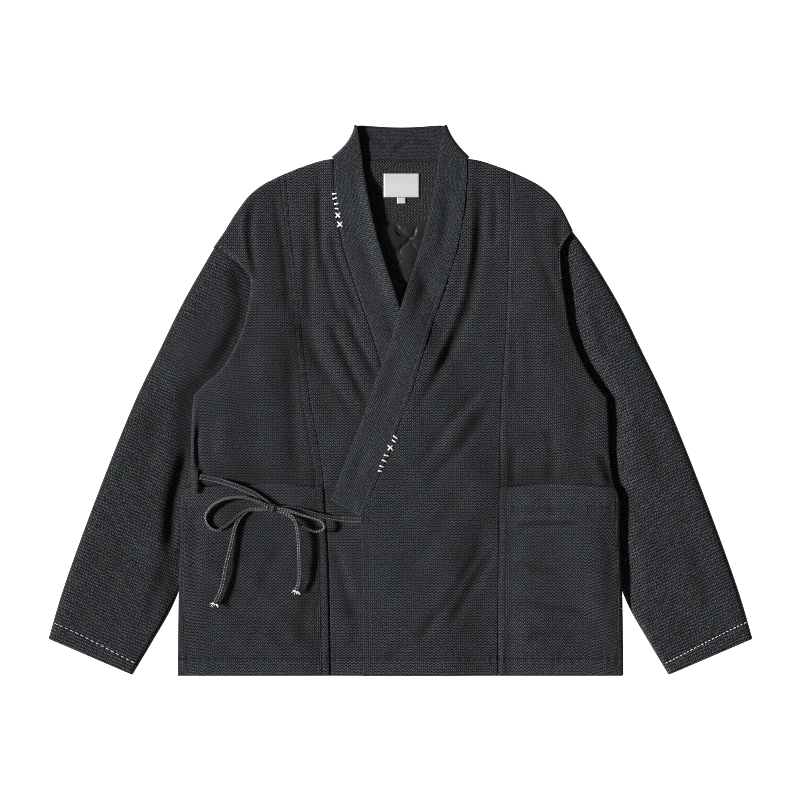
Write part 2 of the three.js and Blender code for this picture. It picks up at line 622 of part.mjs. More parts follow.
const knotShape = new THREE.SphereGeometry(1, 14, 9).scale(knot.rx, knot.ry, knot.rz);
const knotMesh = new THREE.Mesh(knotShape, clothOf(colours.tie));
knotMesh.name = 'bow_knot';
knotMesh.position.set(knot.x, knot.y, knotZ);
group.add(knotMesh);

// The side tab that the side tie comes out of, on the side panel and the corner of its pocket.
const tabBase = (x, y) => restTop(x, y) + tieTab.gap;
const tabTop = (x, y) => tabBase(x, y) + tieTab.thick;
const sideTabPlace = patchOf(
  tieTab.x, (tieTab.topY + tieTab.bottomY) / 2, 2 * tieTab.halfWidth, tieTab.topY - tieTab.bottomY,
);
addWall('tie_tab', sideTabPlace, evenStops(2), evenStops(5), tabBase, tabTop, colours.tie);

export default group;
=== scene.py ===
import json
import math

import bpy
import numpy as np
from mathutils.bvhtree import BVHTree
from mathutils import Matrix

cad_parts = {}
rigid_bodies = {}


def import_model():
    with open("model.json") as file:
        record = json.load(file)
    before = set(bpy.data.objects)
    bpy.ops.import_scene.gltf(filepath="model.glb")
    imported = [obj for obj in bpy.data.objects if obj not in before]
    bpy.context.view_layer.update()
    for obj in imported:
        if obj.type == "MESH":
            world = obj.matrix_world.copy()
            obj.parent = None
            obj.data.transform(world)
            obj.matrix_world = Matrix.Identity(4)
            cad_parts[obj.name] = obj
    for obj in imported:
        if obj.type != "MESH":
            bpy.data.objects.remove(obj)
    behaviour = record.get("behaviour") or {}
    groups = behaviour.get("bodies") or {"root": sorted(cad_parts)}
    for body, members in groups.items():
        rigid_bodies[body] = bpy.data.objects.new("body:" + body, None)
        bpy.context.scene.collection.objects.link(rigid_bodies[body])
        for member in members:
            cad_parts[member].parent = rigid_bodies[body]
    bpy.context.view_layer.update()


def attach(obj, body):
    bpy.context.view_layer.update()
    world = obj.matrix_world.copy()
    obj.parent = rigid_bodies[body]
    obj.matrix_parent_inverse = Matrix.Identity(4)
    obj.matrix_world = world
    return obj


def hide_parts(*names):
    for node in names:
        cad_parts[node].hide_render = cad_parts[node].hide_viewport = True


# A padded wrap-over jacket of zigzag-woven indigo cotton, laid flat on its back.
# Shapes are worked out in millimetres, X across, Y from hem to collar, Z up, and made in metres.
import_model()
scene = bpy.context.scene
scene.view_settings.view_transform = "Standard"
scene.cycles.filter_width = 0.8  # crisp enough for single yarns to show
print("jacket: frame loaded")

# Camera: straight down from far away, 1.348 mm of the jacket to a pixel of an 800 pixel square.
view = {"height": 8.0, "mmPerPixel": 1.348, "pixels": 800, "sensor": 36.0, "x": -0.0007, "clip": 50}
cameraData = bpy.data.cameras.new("camera")
cameraData.sensor_width = view["sensor"]
cameraData.lens = view["sensor"] * view["height"] * 1000 / (view["mmPerPixel"] * view["pixels"])
cameraData.clip_end = view["clip"]
camera = bpy.data.objects.new("camera", cameraData)
camera.location = (view["x"], 0, view["height"])
scene.collection.objects.link(camera)
scene.camera = camera


# Numbers

def mix(a, b, t):
    return a + (b - a) * t


def smooth(x, low, high):
    t = np.clip((x - low) / (high - low), 0, 1)
    return t * t * (3 - 2 * t)


def fade(x, low, high):
    return 1 - smooth(x, low, high)


def xAt(rows, y):
    rows = np.asarray(rows, float)
    return np.interp(y, rows[::-1, 1], rows[::-1, 0])


def roll(distance, radius):
    return 1 - np.sqrt(1 - (1 - np.clip(distance / radius, 0, 1)) ** 2)


def bump(distance, at, width):
    return np.exp(-(((distance - at) / width) ** 2))


def ripple(x, y, waves):
    total = np.zeros(np.broadcast(x, y).shape)
    for length, angle, high, start in waves:  # wavelength in mm, direction in degrees, height, phase
        c, s = math.cos(math.radians(angle)), math.sin(math.radians(angle))
        bend = 0.8 * np.sin((x * s - y * c) / (length * 0.9) + start * 2.1)
        total = total + high * np.sin(2 * math.pi * (x * c + y * s) / length + start + bend)
    return total


def smoothPath(points, perSpan=40):
    # A curve through the points, each span eased by the square root of its length.
    p = np.asarray(points, float)
    p = np.vstack([2 * p[0] - p[1], p, 2 * p[-1] - p[-2]])
    t = np.linspace(0, 1, perSpan, endpoint=False)[:, None]
    spans = []
    for a, b, c, d in zip(p, p[1:], p[2:], p[3:]):
        da, db, dc = (np.linalg.norm(q - r) ** 0.5 for q, r in ((b, a), (c, b), (d, c)))
        leave = ((b - a) / da - (c - a) / (da + db) + (c - b) / db) * db
        reach = ((c - b) / db - (d - b) / (db + dc) + (d - c) / dc) * db
        square = 3 * (c - b) - 2 * leave - reach
        spans.append(b + leave * t + square * t**2 + (2 * (b - c) + leave + reach) * t**3)
    return np.vstack([*spans, p[-2:-1]])


def lengths(path):
    return np.concatenate([[0], np.cumsum(np.linalg.norm(np.diff(path, axis=0), axis=1))])


def along(path, share):
    run = lengths(path)
    return np.stack([np.interp(np.asarray(share) * run[-1], run, column) for column in path.T], -1)


def stops(length, first, middle, last, nearZone=12, farZone=12):
    # Shares from 0 to 1 with a cell size of its own near each end.
    near = np.arange(0, nearZone, first)
    far = length - np.arange(0, farZone, last)[::-1]
    count = max(2, round((far[0] - near[-1]) / middle))
    return np.concatenate([near, np.linspace(near[-1], far[0], count + 1)[1:-1], far]) / length


# The jacket's form: the same lines, layers and folds as its solids have. X is counted outwards on seams.
jacket = {
    "hemHalf": 300, "hemY": -371.4, "neckY": 323.4, "frontX": -51, "length": 660, "wall": 4.6, "backWall": 4,
    "gap": 0.8,
}
tuck = {"lift": 5.0, "ramp": 80, "ease": 0.9, "fade": 110, "start": {"under": 150, "over": 190}}
lap = {"band": 13.4, "cloth": 11.3, "low": 10, "high": 70, "ramp": 60, "margin": 2}
band = {"thick": 5.6, "base": 7, "hidden": 5.3, "fold": 3.5}
sleeve = {"puff": 11.5, "pressed": 3.8, "roll": 10, "past": -6, "ramp": 34, "cuff": (-330, -280)}
pocket = {
    "thick": 2.6, "gap": 0.5, "mouth": -118, "gape": 1.4, "gapeLength": 40, "inset": (1.0, 0.6), "roll": 3.5,
    "puff": 1.4, "mouthStitch": 27, "innerStitches": (8.2, 11.2), "outerStitch": 4.5, "least": 0.8,
    "bend": {"under": 26, "over": 22}, "grainShift": 1.7, "shade": {"under": 0.28, "over": 0.1},
}
foot = {"y": 2, "share": 0.45}  # where the armhole ends at the side, and its share of the way down a panel
sides = {"under": -1, "over": 1}

shoulder = [[96.5, 324.4], [142, 310.4], [180, 293], [202, 277], [215, 261], [226, 245]]
sleeveOuter = [[294, 131], [326, 66], [357, 2], [409, -127], [456, -257], [475, -321.5]]
sleeveInner = [[245, 4], [254, -40], [263, -110], [278, -190], [306, -273], [335, -325], [362, -370]]
sideEdge = [[281, -30], [283, -85], [288, -112], [295, -130], [296, -180], [298.5, -257], [300, -371.4]]
armhole = {
    "under": [
        [252, 205], [222, 185], [203, 164], [202, 146], [206, 120], [216, 87], [229, 60], [242, 40], [263, 22],
        [279, 5],
    ],
    "over": [
        [232, 228], [220, 211], [216, 200], [217, 168], [222, 134], [229, 94], [239, 66], [253, 38], [266, 19],
        [279, 2],
    ],
}
sleeveHead = {
    "under": [[252, 205], [222, 185], [203, 164], [197, 145], [196, 118], [202, 84], [212, 52], [226, 26], [245, 4]],
    "over": [[232, 228], [220, 211], [216, 200], [208, 168], [208, 134], [212, 94], [220, 60], [231, 30], [245, 4]],
}
headTuck = {"under": [[218, 191], [197, 168]], "over": [[213, 214], [208.5, 200.5]]}
panelSeam = {
    "under": [
        [154.6, 303], [148, 228], [140, 161], [132, 80], [122, -1], [111.8, -55], [103.8, -108], [100.2, -162],
        [97, -216], [95.4, -280], [93.6, -371.4],
    ],
    "over": [[146.8, 307], [146.4, 228], [141.8, 94], [135, -1], [133.5, -108], [132, -216], [131, -371.4]],
}
# The collar along a front: its seam edge, then its free edge.
bandFront = [
    [90, 298, 47.5, 300], [86, 255, 40, 260], [78, 210, 31, 222], [65, 166, 19, 182], [52, 128, 6, 144],
    [39, 90, -5.5, 106], [27, 50, -17, 66], [13.5, 6, -34, 26], [0, -28, -45, -8], [-13.5, -68, -61, -50],
    [-30, -104, -76, -88], [-40.5, -131, -85, -111], [-51, -158, -94, -134],
]
bandTurn = [[90, 318, 53, 339], [89.6, 324.6, 58.6, 369.2]]
bandBack = [[72, 322.6, 54, 369.8], [45, 322.3, 40, 369], [18, 322.3, 18, 367.6], [0, 322.3, 0, 367.2]]
hiddenEnd = [
    [-60, 330], [-44, 270], [-20, 182], [-6, 144], [5.5, 106], [17, 66], [34, 26], [45, -8], [61, -50],
    [76, -88], [97, -140], [66, -172], [52, -205], [52, -371.4],
]
# Folds follow a line of picture points (1.348 mm each): depth at the middle (+ is a ridge), half width, line.
folds = {
    "under": [
        (-1.9, 5, [(254, 195), (250, 215), (249, 235), (252, 260), (257, 284)]),
        (1.1, 5, [(244, 205), (241, 225), (243, 245), (248, 268)]),
        (-1.2, 5, [(272, 188), (278, 225), (284, 265), (288, 320)]),
        (-2.0, 5, [(318, 178), (318, 215), (319, 245), (322, 278)]),
        (-1.3, 5, [(324, 250), (327, 280), (334, 306), (343, 325)]),
        (-1.7, 5, [(329, 226), (335, 256), (344, 280), (354, 305), (362, 326)]),
        (-2.0, 5.5, [(340, 300), (348, 318), (354, 336), (364, 356), (378, 384)]),
        (-2.3, 6, [(326, 316), (336, 340), (346, 362), (357, 386), (368, 410)]),
        (-1.7, 8, [(303, 318), (314, 357), (332, 386), (346, 408), (356, 426)]),
        (-1.3, 7, [(306, 215), (307, 250), (306, 290), (309, 330)]),
        (1.0, 8, [(300, 230), (299, 280), (302, 330)]),
        (-1.9, 9, [(289, 335), (290, 380), (292, 430), (294, 486)]),
        (1.3, 16, [(262, 330), (264, 380), (266, 430), (268, 480)]),
        (-1.2, 7, [(331, 536), (338, 565), (345, 592), (354, 628)]),
        (-1.0, 9, [(352, 590), (356, 620), (348, 650)]),
        (0.8, 7, [(340, 545), (350, 580), (357, 600)]),
        (-2.2, 3.4, [(199, 420), (196, 440), (197, 458), (201, 478)]),
        (1.6, 3.6, [(194, 400), (193, 430), (193, 470)]),
        (-1.0, 9, [(225, 395), (212, 420), (207, 460)]),
        (-0.9, 8, [(262, 300), (250, 340), (235, 372)]),
        (-1.5, 15, [(296, 290), (306, 340), (322, 390), (340, 440)]),
        (1.2, 12, [(222, 380), (218, 420), (222, 470)]),
    ],
    "over": [
        (-2.2, 6.5, [
            (474, 172), (480, 205), (478, 240), (474, 275), (467, 308), (452, 342), (437, 373), (421, 399), (408, 424),
        ]),
        (1.3, 6, [(470, 180), (471, 220), (468, 260), (461, 295), (448, 330), (434, 362), (418, 392)]),
        (-1.4, 6, [(486, 372), (470, 398), (450, 418), (430, 446), (412, 474)]),
        (-1.7, 7, [(494, 398), (478, 420), (460, 446), (438, 468), (420, 496)]),
        (1.1, 8, [(488, 390), (470, 412), (452, 434), (432, 458)]),
        (-2.1, 6.5, [(486, 520), (474, 552), (456, 582), (434, 614), (412, 648)]),
        (1.4, 6, [(478, 535), (466, 560), (448, 590), (428, 620)]),
        (-1.8, 6, [(497, 540), (482, 566), (462, 600), (444, 630)]),
        (-1.4, 9, [(412, 636), (396, 650), (384, 662)]),
        (-1.1, 12, [(470, 480), (440, 520), (410, 560), (390, 600)]),
        (-1.4, 6, [(558, 212), (556, 232), (560, 250)]),
        (-1.2, 6, [(540, 255), (548, 280), (558, 306)]),
        (-0.9, 9, [(532, 190), (536, 240), (542, 280)]),
        (-1.2, 5, [(492, 180), (494, 215), (492, 250)]),
        (-1.1, 10, [(524, 300), (528, 350), (530, 400)]),
        (-1.5, 8, [(544, 420), (551, 455), (546, 486)]),
        (-1.7, 6, [(512, 440), (510, 465), (511, 487)]),
        (-2.0, 6, [(598, 450), (606, 470), (611, 487)]),
        (1.0, 7, [(590, 455), (598, 475), (604, 488)]),
        (-1.0, 12, [(578, 380), (584, 420), (574, 460)]),
        (-0.8, 5, [(514, 330), (514, 370), (511, 400)]),
    ],
    "pocket_under": [
        (-1.2, 9, [(256, 590), (268, 562), (286, 536)]),
        (-1.0, 8, [(300, 560), (304, 600), (298, 650)]),
        (-1.2, 9, [(196, 500), (192, 540), (194, 600)]),
        (-0.9, 12, [(240, 610), (262, 630), (290, 640)]),
        (0.9, 14, [(215, 560), (222, 600), (220, 640)]),
    ],
    "pocket_over": [
        (-1.9, 4, [(510, 526), (530, 523), (556, 522), (584, 523)]),
        (1.0, 4, [(512, 518), (540, 515), (580, 516)]),
        (-1.3, 2.6, [(548, 494), (549, 506), (551, 520)]),
        (-1.2, 7, [(512, 600), (536, 604), (562, 608), (590, 612)]),
        (-0.9, 7, [(516, 560), (540, 570), (560, 566)]),
        (-1.0, 9, [(602, 520), (608, 560), (606, 610)]),
        (-0.8, 8, [(520, 640), (550, 632), (580, 640)]),
    ],
    "sleeve_under": [
        (-3.4, 9, [(192, 436), (184, 460), (177, 482), (172, 505), (170, 530), (168, 560)]),
        (1.6, 9, [(184, 505), (181, 530), (178, 560)]),
        (-1.6, 9, [(246, 292), (240, 320), (226, 348), (204, 372)]),
        (-1.5, 7, [(228, 262), (236, 280), (238, 300)]),
        (-1.0, 12, [(160, 400), (150, 450), (140, 500)]),
        (1.0, 14, [(195, 300), (180, 350), (160, 400)]),
        (-0.9, 10, [(130, 520), (115, 570), (100, 610)]),
        (-1.4, 8, [(166, 560), (156, 590), (146, 620)]),
    ],
    "sleeve_over": [
        (-1.6, 6, [(572, 236), (584, 258), (592, 280)]),
        (1.0, 6, [(578, 232), (592, 256), (600, 280)]),
        (-1.3, 8, [(588, 300), (600, 330), (606, 360)]),
        (-1.0, 12, [(640, 400), (655, 450), (664, 500)]),
        (0.9, 14, [(615, 330), (635, 380), (650, 430)]),
        (-1.0, 9, [(630, 480), (640, 520), (644, 560)]),
        (-0.9, 10, [(690, 540), (700, 580), (712, 610)]),
    ],
    "collar_under": [
        (-0.9, 7, [(352, 176), (362, 215), (372, 245)]),
        (-0.9, 7, [(360, 240), (370, 268), (384, 300)]),
        (-1.0, 7, [(380, 300), (390, 320), (392, 345)]),
        (0.7, 6, [(345, 160), (350, 190), (357, 220)]),
    ],
    "collar_over": [
        (-1.0, 6, [(459, 150), (461, 165), (459, 185)]),
        (-1.0, 7, [(447, 190), (445, 225), (438, 255)]),
        (0.7, 7, [(440, 200), (437, 230), (430, 258)]),
        (-1.0, 7, [(432, 270), (420, 300), (408, 330)]),
        (-0.9, 8, [(400, 345), (392, 375), (378, 405)]),
        (-0.9, 7, [(366, 440), (356, 470), (346, 495)]),
    ],
    "collar_back": [
        (-1.5, 3.5, [(390, 151), (398, 147), (404, 142), (411, 140)]),
        (-0.9, 5, [(411, 140), (424, 142), (436, 147)]),
        (-0.8, 5, [(362, 135), (376, 140), (390, 150)]),
    ],
}
foldGain = 1.2  # all folds at once: 1 is as deep as the table says
tuckLine = {name: sleeveHead[name][2:] + sleeveInner[1:] for name in sides}
bodyLine = {name: armhole[name][2:] + sideEdge for name in sides}
drape = {
    "body": [(86, 12, 0.34, 0.4), (61, 68, 0.26, 1.9), (47, 118, 0.2, 4.1), (33, 34, 0.13, 2.2), (25, 152, 0.09, 5.0)],
    "pocket": [(58, 84, 0.4, 2.6), (41, 100, 0.28, 0.7), (30, 40, 0.16, 3.9), (22, 150, 0.1, 1.1)],
    "sleeve": [(92, 58, 0.5, 1.2), (64, 104, 0.36, 3.0), (44, 20, 0.22, 5.1), (28, 80, 0.12, 0.2)],
    "collar": [(70, 70, 0.3, 0.9), (38, 110, 0.2, 2.7), (24, 40, 0.1, 4.4)],
}


def tuckLift(x, y, name):
    inner = xAt(tuckLine[name], y)
    high = fade(y, tuck["start"][name], tuck["start"][name] + tuck["fade"])
    return tuck["lift"] * high * smooth(np.abs(x), inner - tuck["ramp"], inner - 1)


def backLift(x, y):
    return np.where(x < 0, tuckLift(x, y, "under"), tuckLift(x, y, "over"))


def frontBase(x, y):
    lift = backLift(x, y)
    slope = lift / tuck["lift"]
    return lift + jacket["backWall"] + jacket["gap"] + tuck["ease"] * 4 * slope * (1 - slope)


def overBase(x, y):
    flat = frontBase(x, y)
    high = mix(lap["cloth"], lap["band"], smooth(y, lap["low"], lap["high"]))
    end = xAt(hiddenEnd, y) + lap["margin"]
    return flat + np.maximum(high - flat, 0) * fade(x, end, end + lap["ramp"])


def bandLow(x, y):
    return mix(band["hidden"], band["base"], smooth(y, lap["low"], lap["high"]))


def overBandBase(x, y):
    return np.maximum(overBase(x, y), bandLow(x, y))


bases = {"under": frontBase, "over": overBase}


def toMm(px, py):
    half = view["pixels"] / 2
    return (px + 0.5 - half) * view["mmPerPixel"], (half - py - 0.5) * view["mmPerPixel"]


def foldDepth(rows, x, y):
    depth = 0 * x
    for deep, half, line in rows:
        points = np.array([toMm(*point) for point in line])
        run = lengths(points)
        away, at = 1e9 + 0 * x, 0 * x
        for (px, py), (dx, dy), start in zip(points, np.diff(points, axis=0), run):
            long = math.hypot(dx, dy)
            t = np.clip(((x - px) * dx + (y - py) * dy) / long**2, 0, 1)
            here = np.hypot(x - px - t * dx, y - py - t * dy)
            at = np.where(here < away, start + t * long, at)
            away = np.minimum(away, here)
        share = at / run[-1]
        ends = smooth(share, 0, 0.25) * fade(share, 0.78, 1)
        depth = depth + foldGain * deep * ends * np.exp(-((away / half) ** 2))
    return depth


def foldTone(rows, x, y):
    # The bottom of a fold holds less light than its sides: painted shade there, and a little painted light on a ridge.
    return np.clip(0.1 * foldDepth(rows, x, y), -0.4, 0.1)


# How much a bend of the surface changes its painted light and shade: strength and bend for fine and broad ones, and the
# limits.
relief = {"fine": (0.26, 0.07), "broad": (0.26, 0.7), "limits": (-0.44, 0.13)}


def paintedBendLight(x, y, z):
    # Painted shade in valleys and a painted highlight on ridges: minus in a valley, plus on a ridge.
    total = 0 * z
    for axis in (0, 1):
        step = np.sqrt(np.gradient(x, axis=axis) ** 2 + np.gradient(y, axis=axis) ** 2) + 1e-6
        total = total + np.gradient(np.gradient(z, axis=axis) / step, axis=axis) / step
    (fine, fineBend), (broad, broadBend) = relief["fine"], relief["broad"]
    return np.clip(-fine * np.tanh(total / fineBend) - broad * np.tanh(total / broadBend), *relief["limits"])


# Meshes

def makePiece(name, points, faces, material, uv, painted_light=None):
    # A closed mesh from points in mm, with its faces turned outwards, its cloth's grain as a UV map and its painted
    # light and shade per point.
    tri = points[np.asarray(faces)]
    volume = sum(
        np.einsum("ij,ij->i", tri[:, 0], np.cross(tri[:, k], tri[:, k + 1])).sum() for k in (1, 2)
    )
    faces = faces[:, ::-1] if volume < 0 else faces
    mesh = bpy.data.meshes.new(name)
    mesh.from_pydata((points / 1000).tolist(), [], faces.tolist())
    layer = mesh.uv_layers.new(name="grain")
    layer.data.foreach_set("uv", (uv[faces.ravel()] / 1000).astype(np.float32).ravel())
    shade = mesh.attributes.new("painted_light", "FLOAT", "POINT")
    shade.data.foreach_set("value", (np.zeros(len(points)) if painted_light is None else painted_light).astype(np.float32))
    mesh.polygons.foreach_set("use_smooth", np.ones(len(faces), bool))
    mesh.materials.append(material)
    mesh.validate()
    piece = bpy.data.objects.new(name, mesh)
    scene.collection.objects.link(piece)
    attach(piece, "root")
    return piece


def standFor(node):
    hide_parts(node)


def gridFaces(rows, columns, start=0):
    at = start + np.arange(rows * columns).reshape(rows, columns)
    return np.stack([at[:-1, :-1], at[1:, :-1], at[1:, 1:], at[:-1, 1:]], -1).reshape(-1, 4)


def makeWall(name, x, y, lower, upper, material, grain, painted_light=None):
    # A sheet with thickness: an upper and a lower grid of points, joined around their rim.
    rows, columns = x.shape
    size = rows * columns
    top, bottom = (np.stack([x, y, z], -1).reshape(-1, 3) for z in (upper, lower))
    at = np.arange(size).reshape(rows, columns)
    rim = np.concatenate([at[0, :-1], at[:-1, -1], at[-1, :0:-1], at[:0:-1, 0]])
    after = np.roll(rim, -1)
    faces = np.vstack([
        gridFaces(rows, columns), gridFaces(rows, columns, size)[:, ::-1],
        np.stack([rim, after, after + size, rim + size], -1),
    ])
    uv = np.tile(np.stack(grain, -1).reshape(-1, 2), (2, 1))
    both = None if painted_light is None else np.tile(painted_light.ravel(), 2)
    return makePiece(name, np.vstack([top, bottom]), faces, material, uv, both)


def tubeFaces(rings, size, start=0):
    at = start + np.arange(rings * size).reshape(rings, size)
    after = np.roll(at, -1, axis=1)
    return np.stack([at[:-1], after[:-1], after[1:], at[1:]], -1).reshape(-1, 4)


def makeSweep(name, rings, material, grain, painted_light):
    # Rings of an even number of points, with both ends closed by quads.
    count, size = rings.shape[:2]
    half = np.arange(size // 2 - 1)
    cap = np.stack([size - 1 - half, size - 2 - half, half + 1, half], -1)
    faces = np.vstack([tubeFaces(count, size), cap, cap[:, ::-1] + (count - 1) * size])
    return makePiece(name, rings.reshape(-1, 3), faces, material, grain.reshape(-1, 2), painted_light.ravel())


# Materials

def hexColour(code):
    parts = [int(code[k:k + 2], 16) / 255 for k in (1, 3, 5)]
    return tuple(c / 12.92 if c <= 0.04045 else ((c + 0.055) / 1.055) ** 2.4 for c in parts) + (1.0,)


def addNode(tree, kind, settings, inputs, output=0):
    item = tree.nodes.new("ShaderNode" + kind)
    for key, value in settings.items():
        setattr(item, key, value)
    for key, value in inputs.items():
        if isinstance(value, bpy.types.NodeSocket):
            tree.links.new(value, item.inputs[key])
        else:
            item.inputs[key].default_value = value
    return item.outputs[output]


def newMaterial(name, roughness, sheen, specular=0.25):
    material = bpy.data.materials.new(name)
    material.use_nodes = True
    tree = material.node_tree
    shader = tree.nodes["Principled BSDF"]
    shader.inputs["Roughness"].default_value = roughness
    shader.inputs["Specular IOR Level"].default_value = specular
    shader.inputs["Sheen Weight"].default_value = sheen
    shader.inputs["Sheen Roughness"].default_value = 0.5
    return material, tree, shader


def addNoise(tree, grain, mm, detail, output=0, **more):
    # Noise with a cell of so many mm of real cloth.
    return addNode(tree, "TexNoise", {}, {"Vector": grain, "Scale": 1000 / mm, "Detail": detail, **more}, output)


def addRange(tree, value, low, high, toLow, toHigh):
    limits = {"From Min": low, "From Max": high, "To Min": toLow, "To Max": toHigh}
    return addNode(tree, "MapRange", {}, {"Value": value, **limits})


def addBump(tree, shader, height, strength, distance):
    inputs = {"Strength": strength, "Distance": distance, "Height": height}
    tree.links.new(addNode(tree, "Bump", {}, inputs), shader.inputs["Normal"])


def addTint(tree, shader, colour, gain):
    tint = addNode(tree, "VectorMath", {"operation": "SCALE"}, {0: colour, 3: gain})
    tree.links.new(tint, shader.inputs["Base Color"])


def wovenCotton(name, dark, light, weave):
    # Yarn-dyed cotton in a zigzag weave: pale zigzag rows over a near-black ground, with slubs and flecks.
    material, tree, shader = newMaterial(name, 0.92, 0.12)

    def calc(operation, a, b):
        return addNode(tree, "Math", {"operation": operation}, {0: a, 1: b})

    grain = addNode(tree, "UVMap", {"uv_map": "grain"}, {})
    drift = addNoise(tree, grain, 26, 2.0, 1)
    moved = addNode(tree, "VectorMath", {"operation": "MULTIPLY_ADD"}, {0: drift, 1: (0.0035, 0.0035, 0), 2: grain})
    part = tree.nodes.new("ShaderNodeSeparateXYZ")
    tree.links.new(moved, part.inputs[0])
    across = calc("MULTIPLY", part.outputs[0], 1000 / weave["period"])
    up = calc("MULTIPLY", part.outputs[1], 1000 / weave["row"])
    zig = calc("PINGPONG", across, 0.5)
    lean = calc("MULTIPLY", across, weave["lean"])
    phase = calc("ADD", up, calc("ADD", lean, calc("MULTIPLY", zig, 2 * weave["zig"])))
    row = calc("MULTIPLY", calc("PINGPONG", phase, 0.5), 2.0)
    knots = calc("MULTIPLY", calc("PINGPONG", calc("ADD", across, 0.25), 0.25), 4 * weave["dots"])
    raised = addNode(tree, "MapRange", {"interpolation_type": "SMOOTHSTEP"}, {
        "Value": calc("SUBTRACT", row, knots), "From Min": 0.35, "From Max": 0.62,
    })
    slub = addNoise(tree, grain, 2.6, 3.0, Roughness=0.7)
    tone = addRange(tree, slub, 0.3, 0.7, -0.5, 0.5)
    level = addNode(tree, "Math", {"operation": "ADD", "use_clamp": True}, {0: raised, 1: tone})
    cloth = addNode(tree, "Mix", {"data_type": "RGBA"}, {0: level, 6: hexColour(dark), 7: hexColour(light)}, 2)
    fleck = addNoise(tree, grain, 2.1, 1.0, 1)
    overlay = {"data_type": "RGBA", "blend_type": "OVERLAY"}
    tinted = addNode(tree, "Mix", overlay, {0: weave["fleck"], 6: cloth, 7: fleck}, 2)
    # The mesh's painted light and shade brightens or darkens the cloth's colour.
    painted_light = addNode(tree, "Attribute", {"attribute_name": "painted_light"}, {}, 2)
    broad = addRange(tree, addNoise(tree, grain, 48, 2.0), 0.3, 0.7, 0.92, 1.08)
    addTint(tree, shader, tinted, calc("ADD", broad, painted_light))
    height = calc("ADD", calc("MULTIPLY", raised, 0.8), calc("MULTIPLY", slub, 0.5))
    addBump(tree, shader, height, weave["relief"], 0.0006)
    return material


# Zigzag period and row spacing in mm of real cloth, with how steep the zigzag is, how far plain rows lean, how
# strong the dots between yarns are, how many yarns are flecked and how far they stand out.
weaves = {
    "body": {"period": 5.5, "row": 3.7, "zig": 0.78, "lean": 0.0, "dots": 0.4, "fleck": 0.35, "relief": 0.9},
    "pocket": {"period": 5.2, "row": 4.2, "zig": 0.85, "lean": 0.0, "dots": 0.3, "fleck": 0.35, "relief": 0.9},
    "sleeve": {"period": 4.6, "row": 4.1, "zig": 0.7, "lean": 0.0, "dots": 0.65, "fleck": 0.7, "relief": 0.85},
    "collar": {"period": 3.6, "row": 3.3, "zig": 0.0, "lean": 1.0, "dots": 0.6, "fleck": 0.65, "relief": 0.7},
    "facing": {"period": 3.9, "row": 3.9, "zig": 0.0, "lean": 1.0, "dots": 0.6, "fleck": 0.3, "relief": 0.7},
    "tie": {"period": 3.0, "row": 2.4, "zig": 0.6, "lean": 0.0, "dots": 0.3, "fleck": 0.3, "relief": 0.5},
}
bodyCotton = wovenCotton("zigzag_cotton_body", "#030405", "#54585e", weaves["body"])
pocketCotton = wovenCotton("zigzag_cotton_pocket", "#030405", "#51555b", weaves["pocket"])
sleeveCotton = wovenCotton("zigzag_cotton_sleeve", "#040506", "#5f636a", weaves["sleeve"])
collarCotton = wovenCotton("twill_cotton_collar", "#121416", "#565a60", weaves["collar"])
facingCotton = wovenCotton("basket_cotton_facing", "#040506", "#5b5f63", weaves["facing"])
tieCotton = wovenCotton("cotton_tape", "#141619", "#54585c", weaves["tie"])


def plainThread(name, colour, roughness):
    # Twisted sewing thread: fine diagonal ply along each stitch.
    material, tree, shader = newMaterial(name, roughness, 0.1, 0.3)
    place = addNode(tree, "TexCoord", {}, {}, 3)
    inputs = {"Vector": place, "Scale": 1000 / 3.2, "Distortion": 1.5}
    ply = addNode(tree, "TexWave", {"bands_direction": "DIAGONAL"}, inputs)
    addTint(tree, shader, hexColour(colour)[:3], addRange(tree, ply, 0.0, 1.0, 0.92, 1.0))
    addBump(tree, shader, ply, 0.5, 0.0002)
    return material


whiteThread = plainThread("white_cotton_thread", "#ffffff", 0.85)
seamThread = plainThread("grey_polyester_thread", "#4b4f54", 0.7)
paleThread = plainThread("pale_polyester_thread", "#7f8387", 0.7)


def quiltedTaffeta():
    # Black polyester taffeta: smooth, with a soft broad sheen on the puffs.
    material, tree, shader = newMaterial("quilted_taffeta", 0.48, 0.25, 0.5)
    grain = addNode(tree, "UVMap", {"uv_map": "grain"}, {})
    colours = {0: addNoise(tree, grain, 9, 3.0), 6: hexColour("#0b0b0d"), 7: hexColour("#232327")}
    tone = addNode(tree, "Mix", {"data_type": "RGBA"}, colours, 2)
    # The mesh's painted shade darkens the lining's colour in its creases.
    painted_light = addNode(tree, "Attribute", {"attribute_name": "painted_light"}, {}, 2)
    addTint(tree, shader, tone, addNode(tree, "Math", {"operation": "ADD"}, {0: painted_light, 1: 1.0}))
    addBump(tree, shader, addNoise(tree, grain, 14, 3.0, Distortion=1.2), 0.35, 0.0016)
    return material


def labelSatin():
    # Woven polyester label: off-white satin with fine ribs across.
    material, tree, shader = newMaterial("woven_label_satin", 0.55, 0.0, 0.4)
    grain = addNode(tree, "UVMap", {"uv_map": "grain"}, {})
    inputs = {"Vector": grain, "Scale": 1000 / 4.5, "Distortion": 0.3}
    rib = addNode(tree, "TexWave", {"bands_direction": "Y"}, inputs)
    colours = {0: rib, 6: hexColour("#cdd0ce"), 7: hexColour("#e6e8e6")}
    tree.links.new(addNode(tree, "Mix", {"data_type": "RGBA"}, colours, 2), shader.inputs["Base Color"])
    addBump(tree, shader, rib, 0.3, 0.0001)
    return material


taffeta = quiltedTaffeta()
satin = labelSatin()
print("jacket: materials made")


# Panels: a patch between four edges, and the height of its two faces.

def flip(rows, side, shift=0):
    return [[side * (x + shift), y] for x, y in rows]


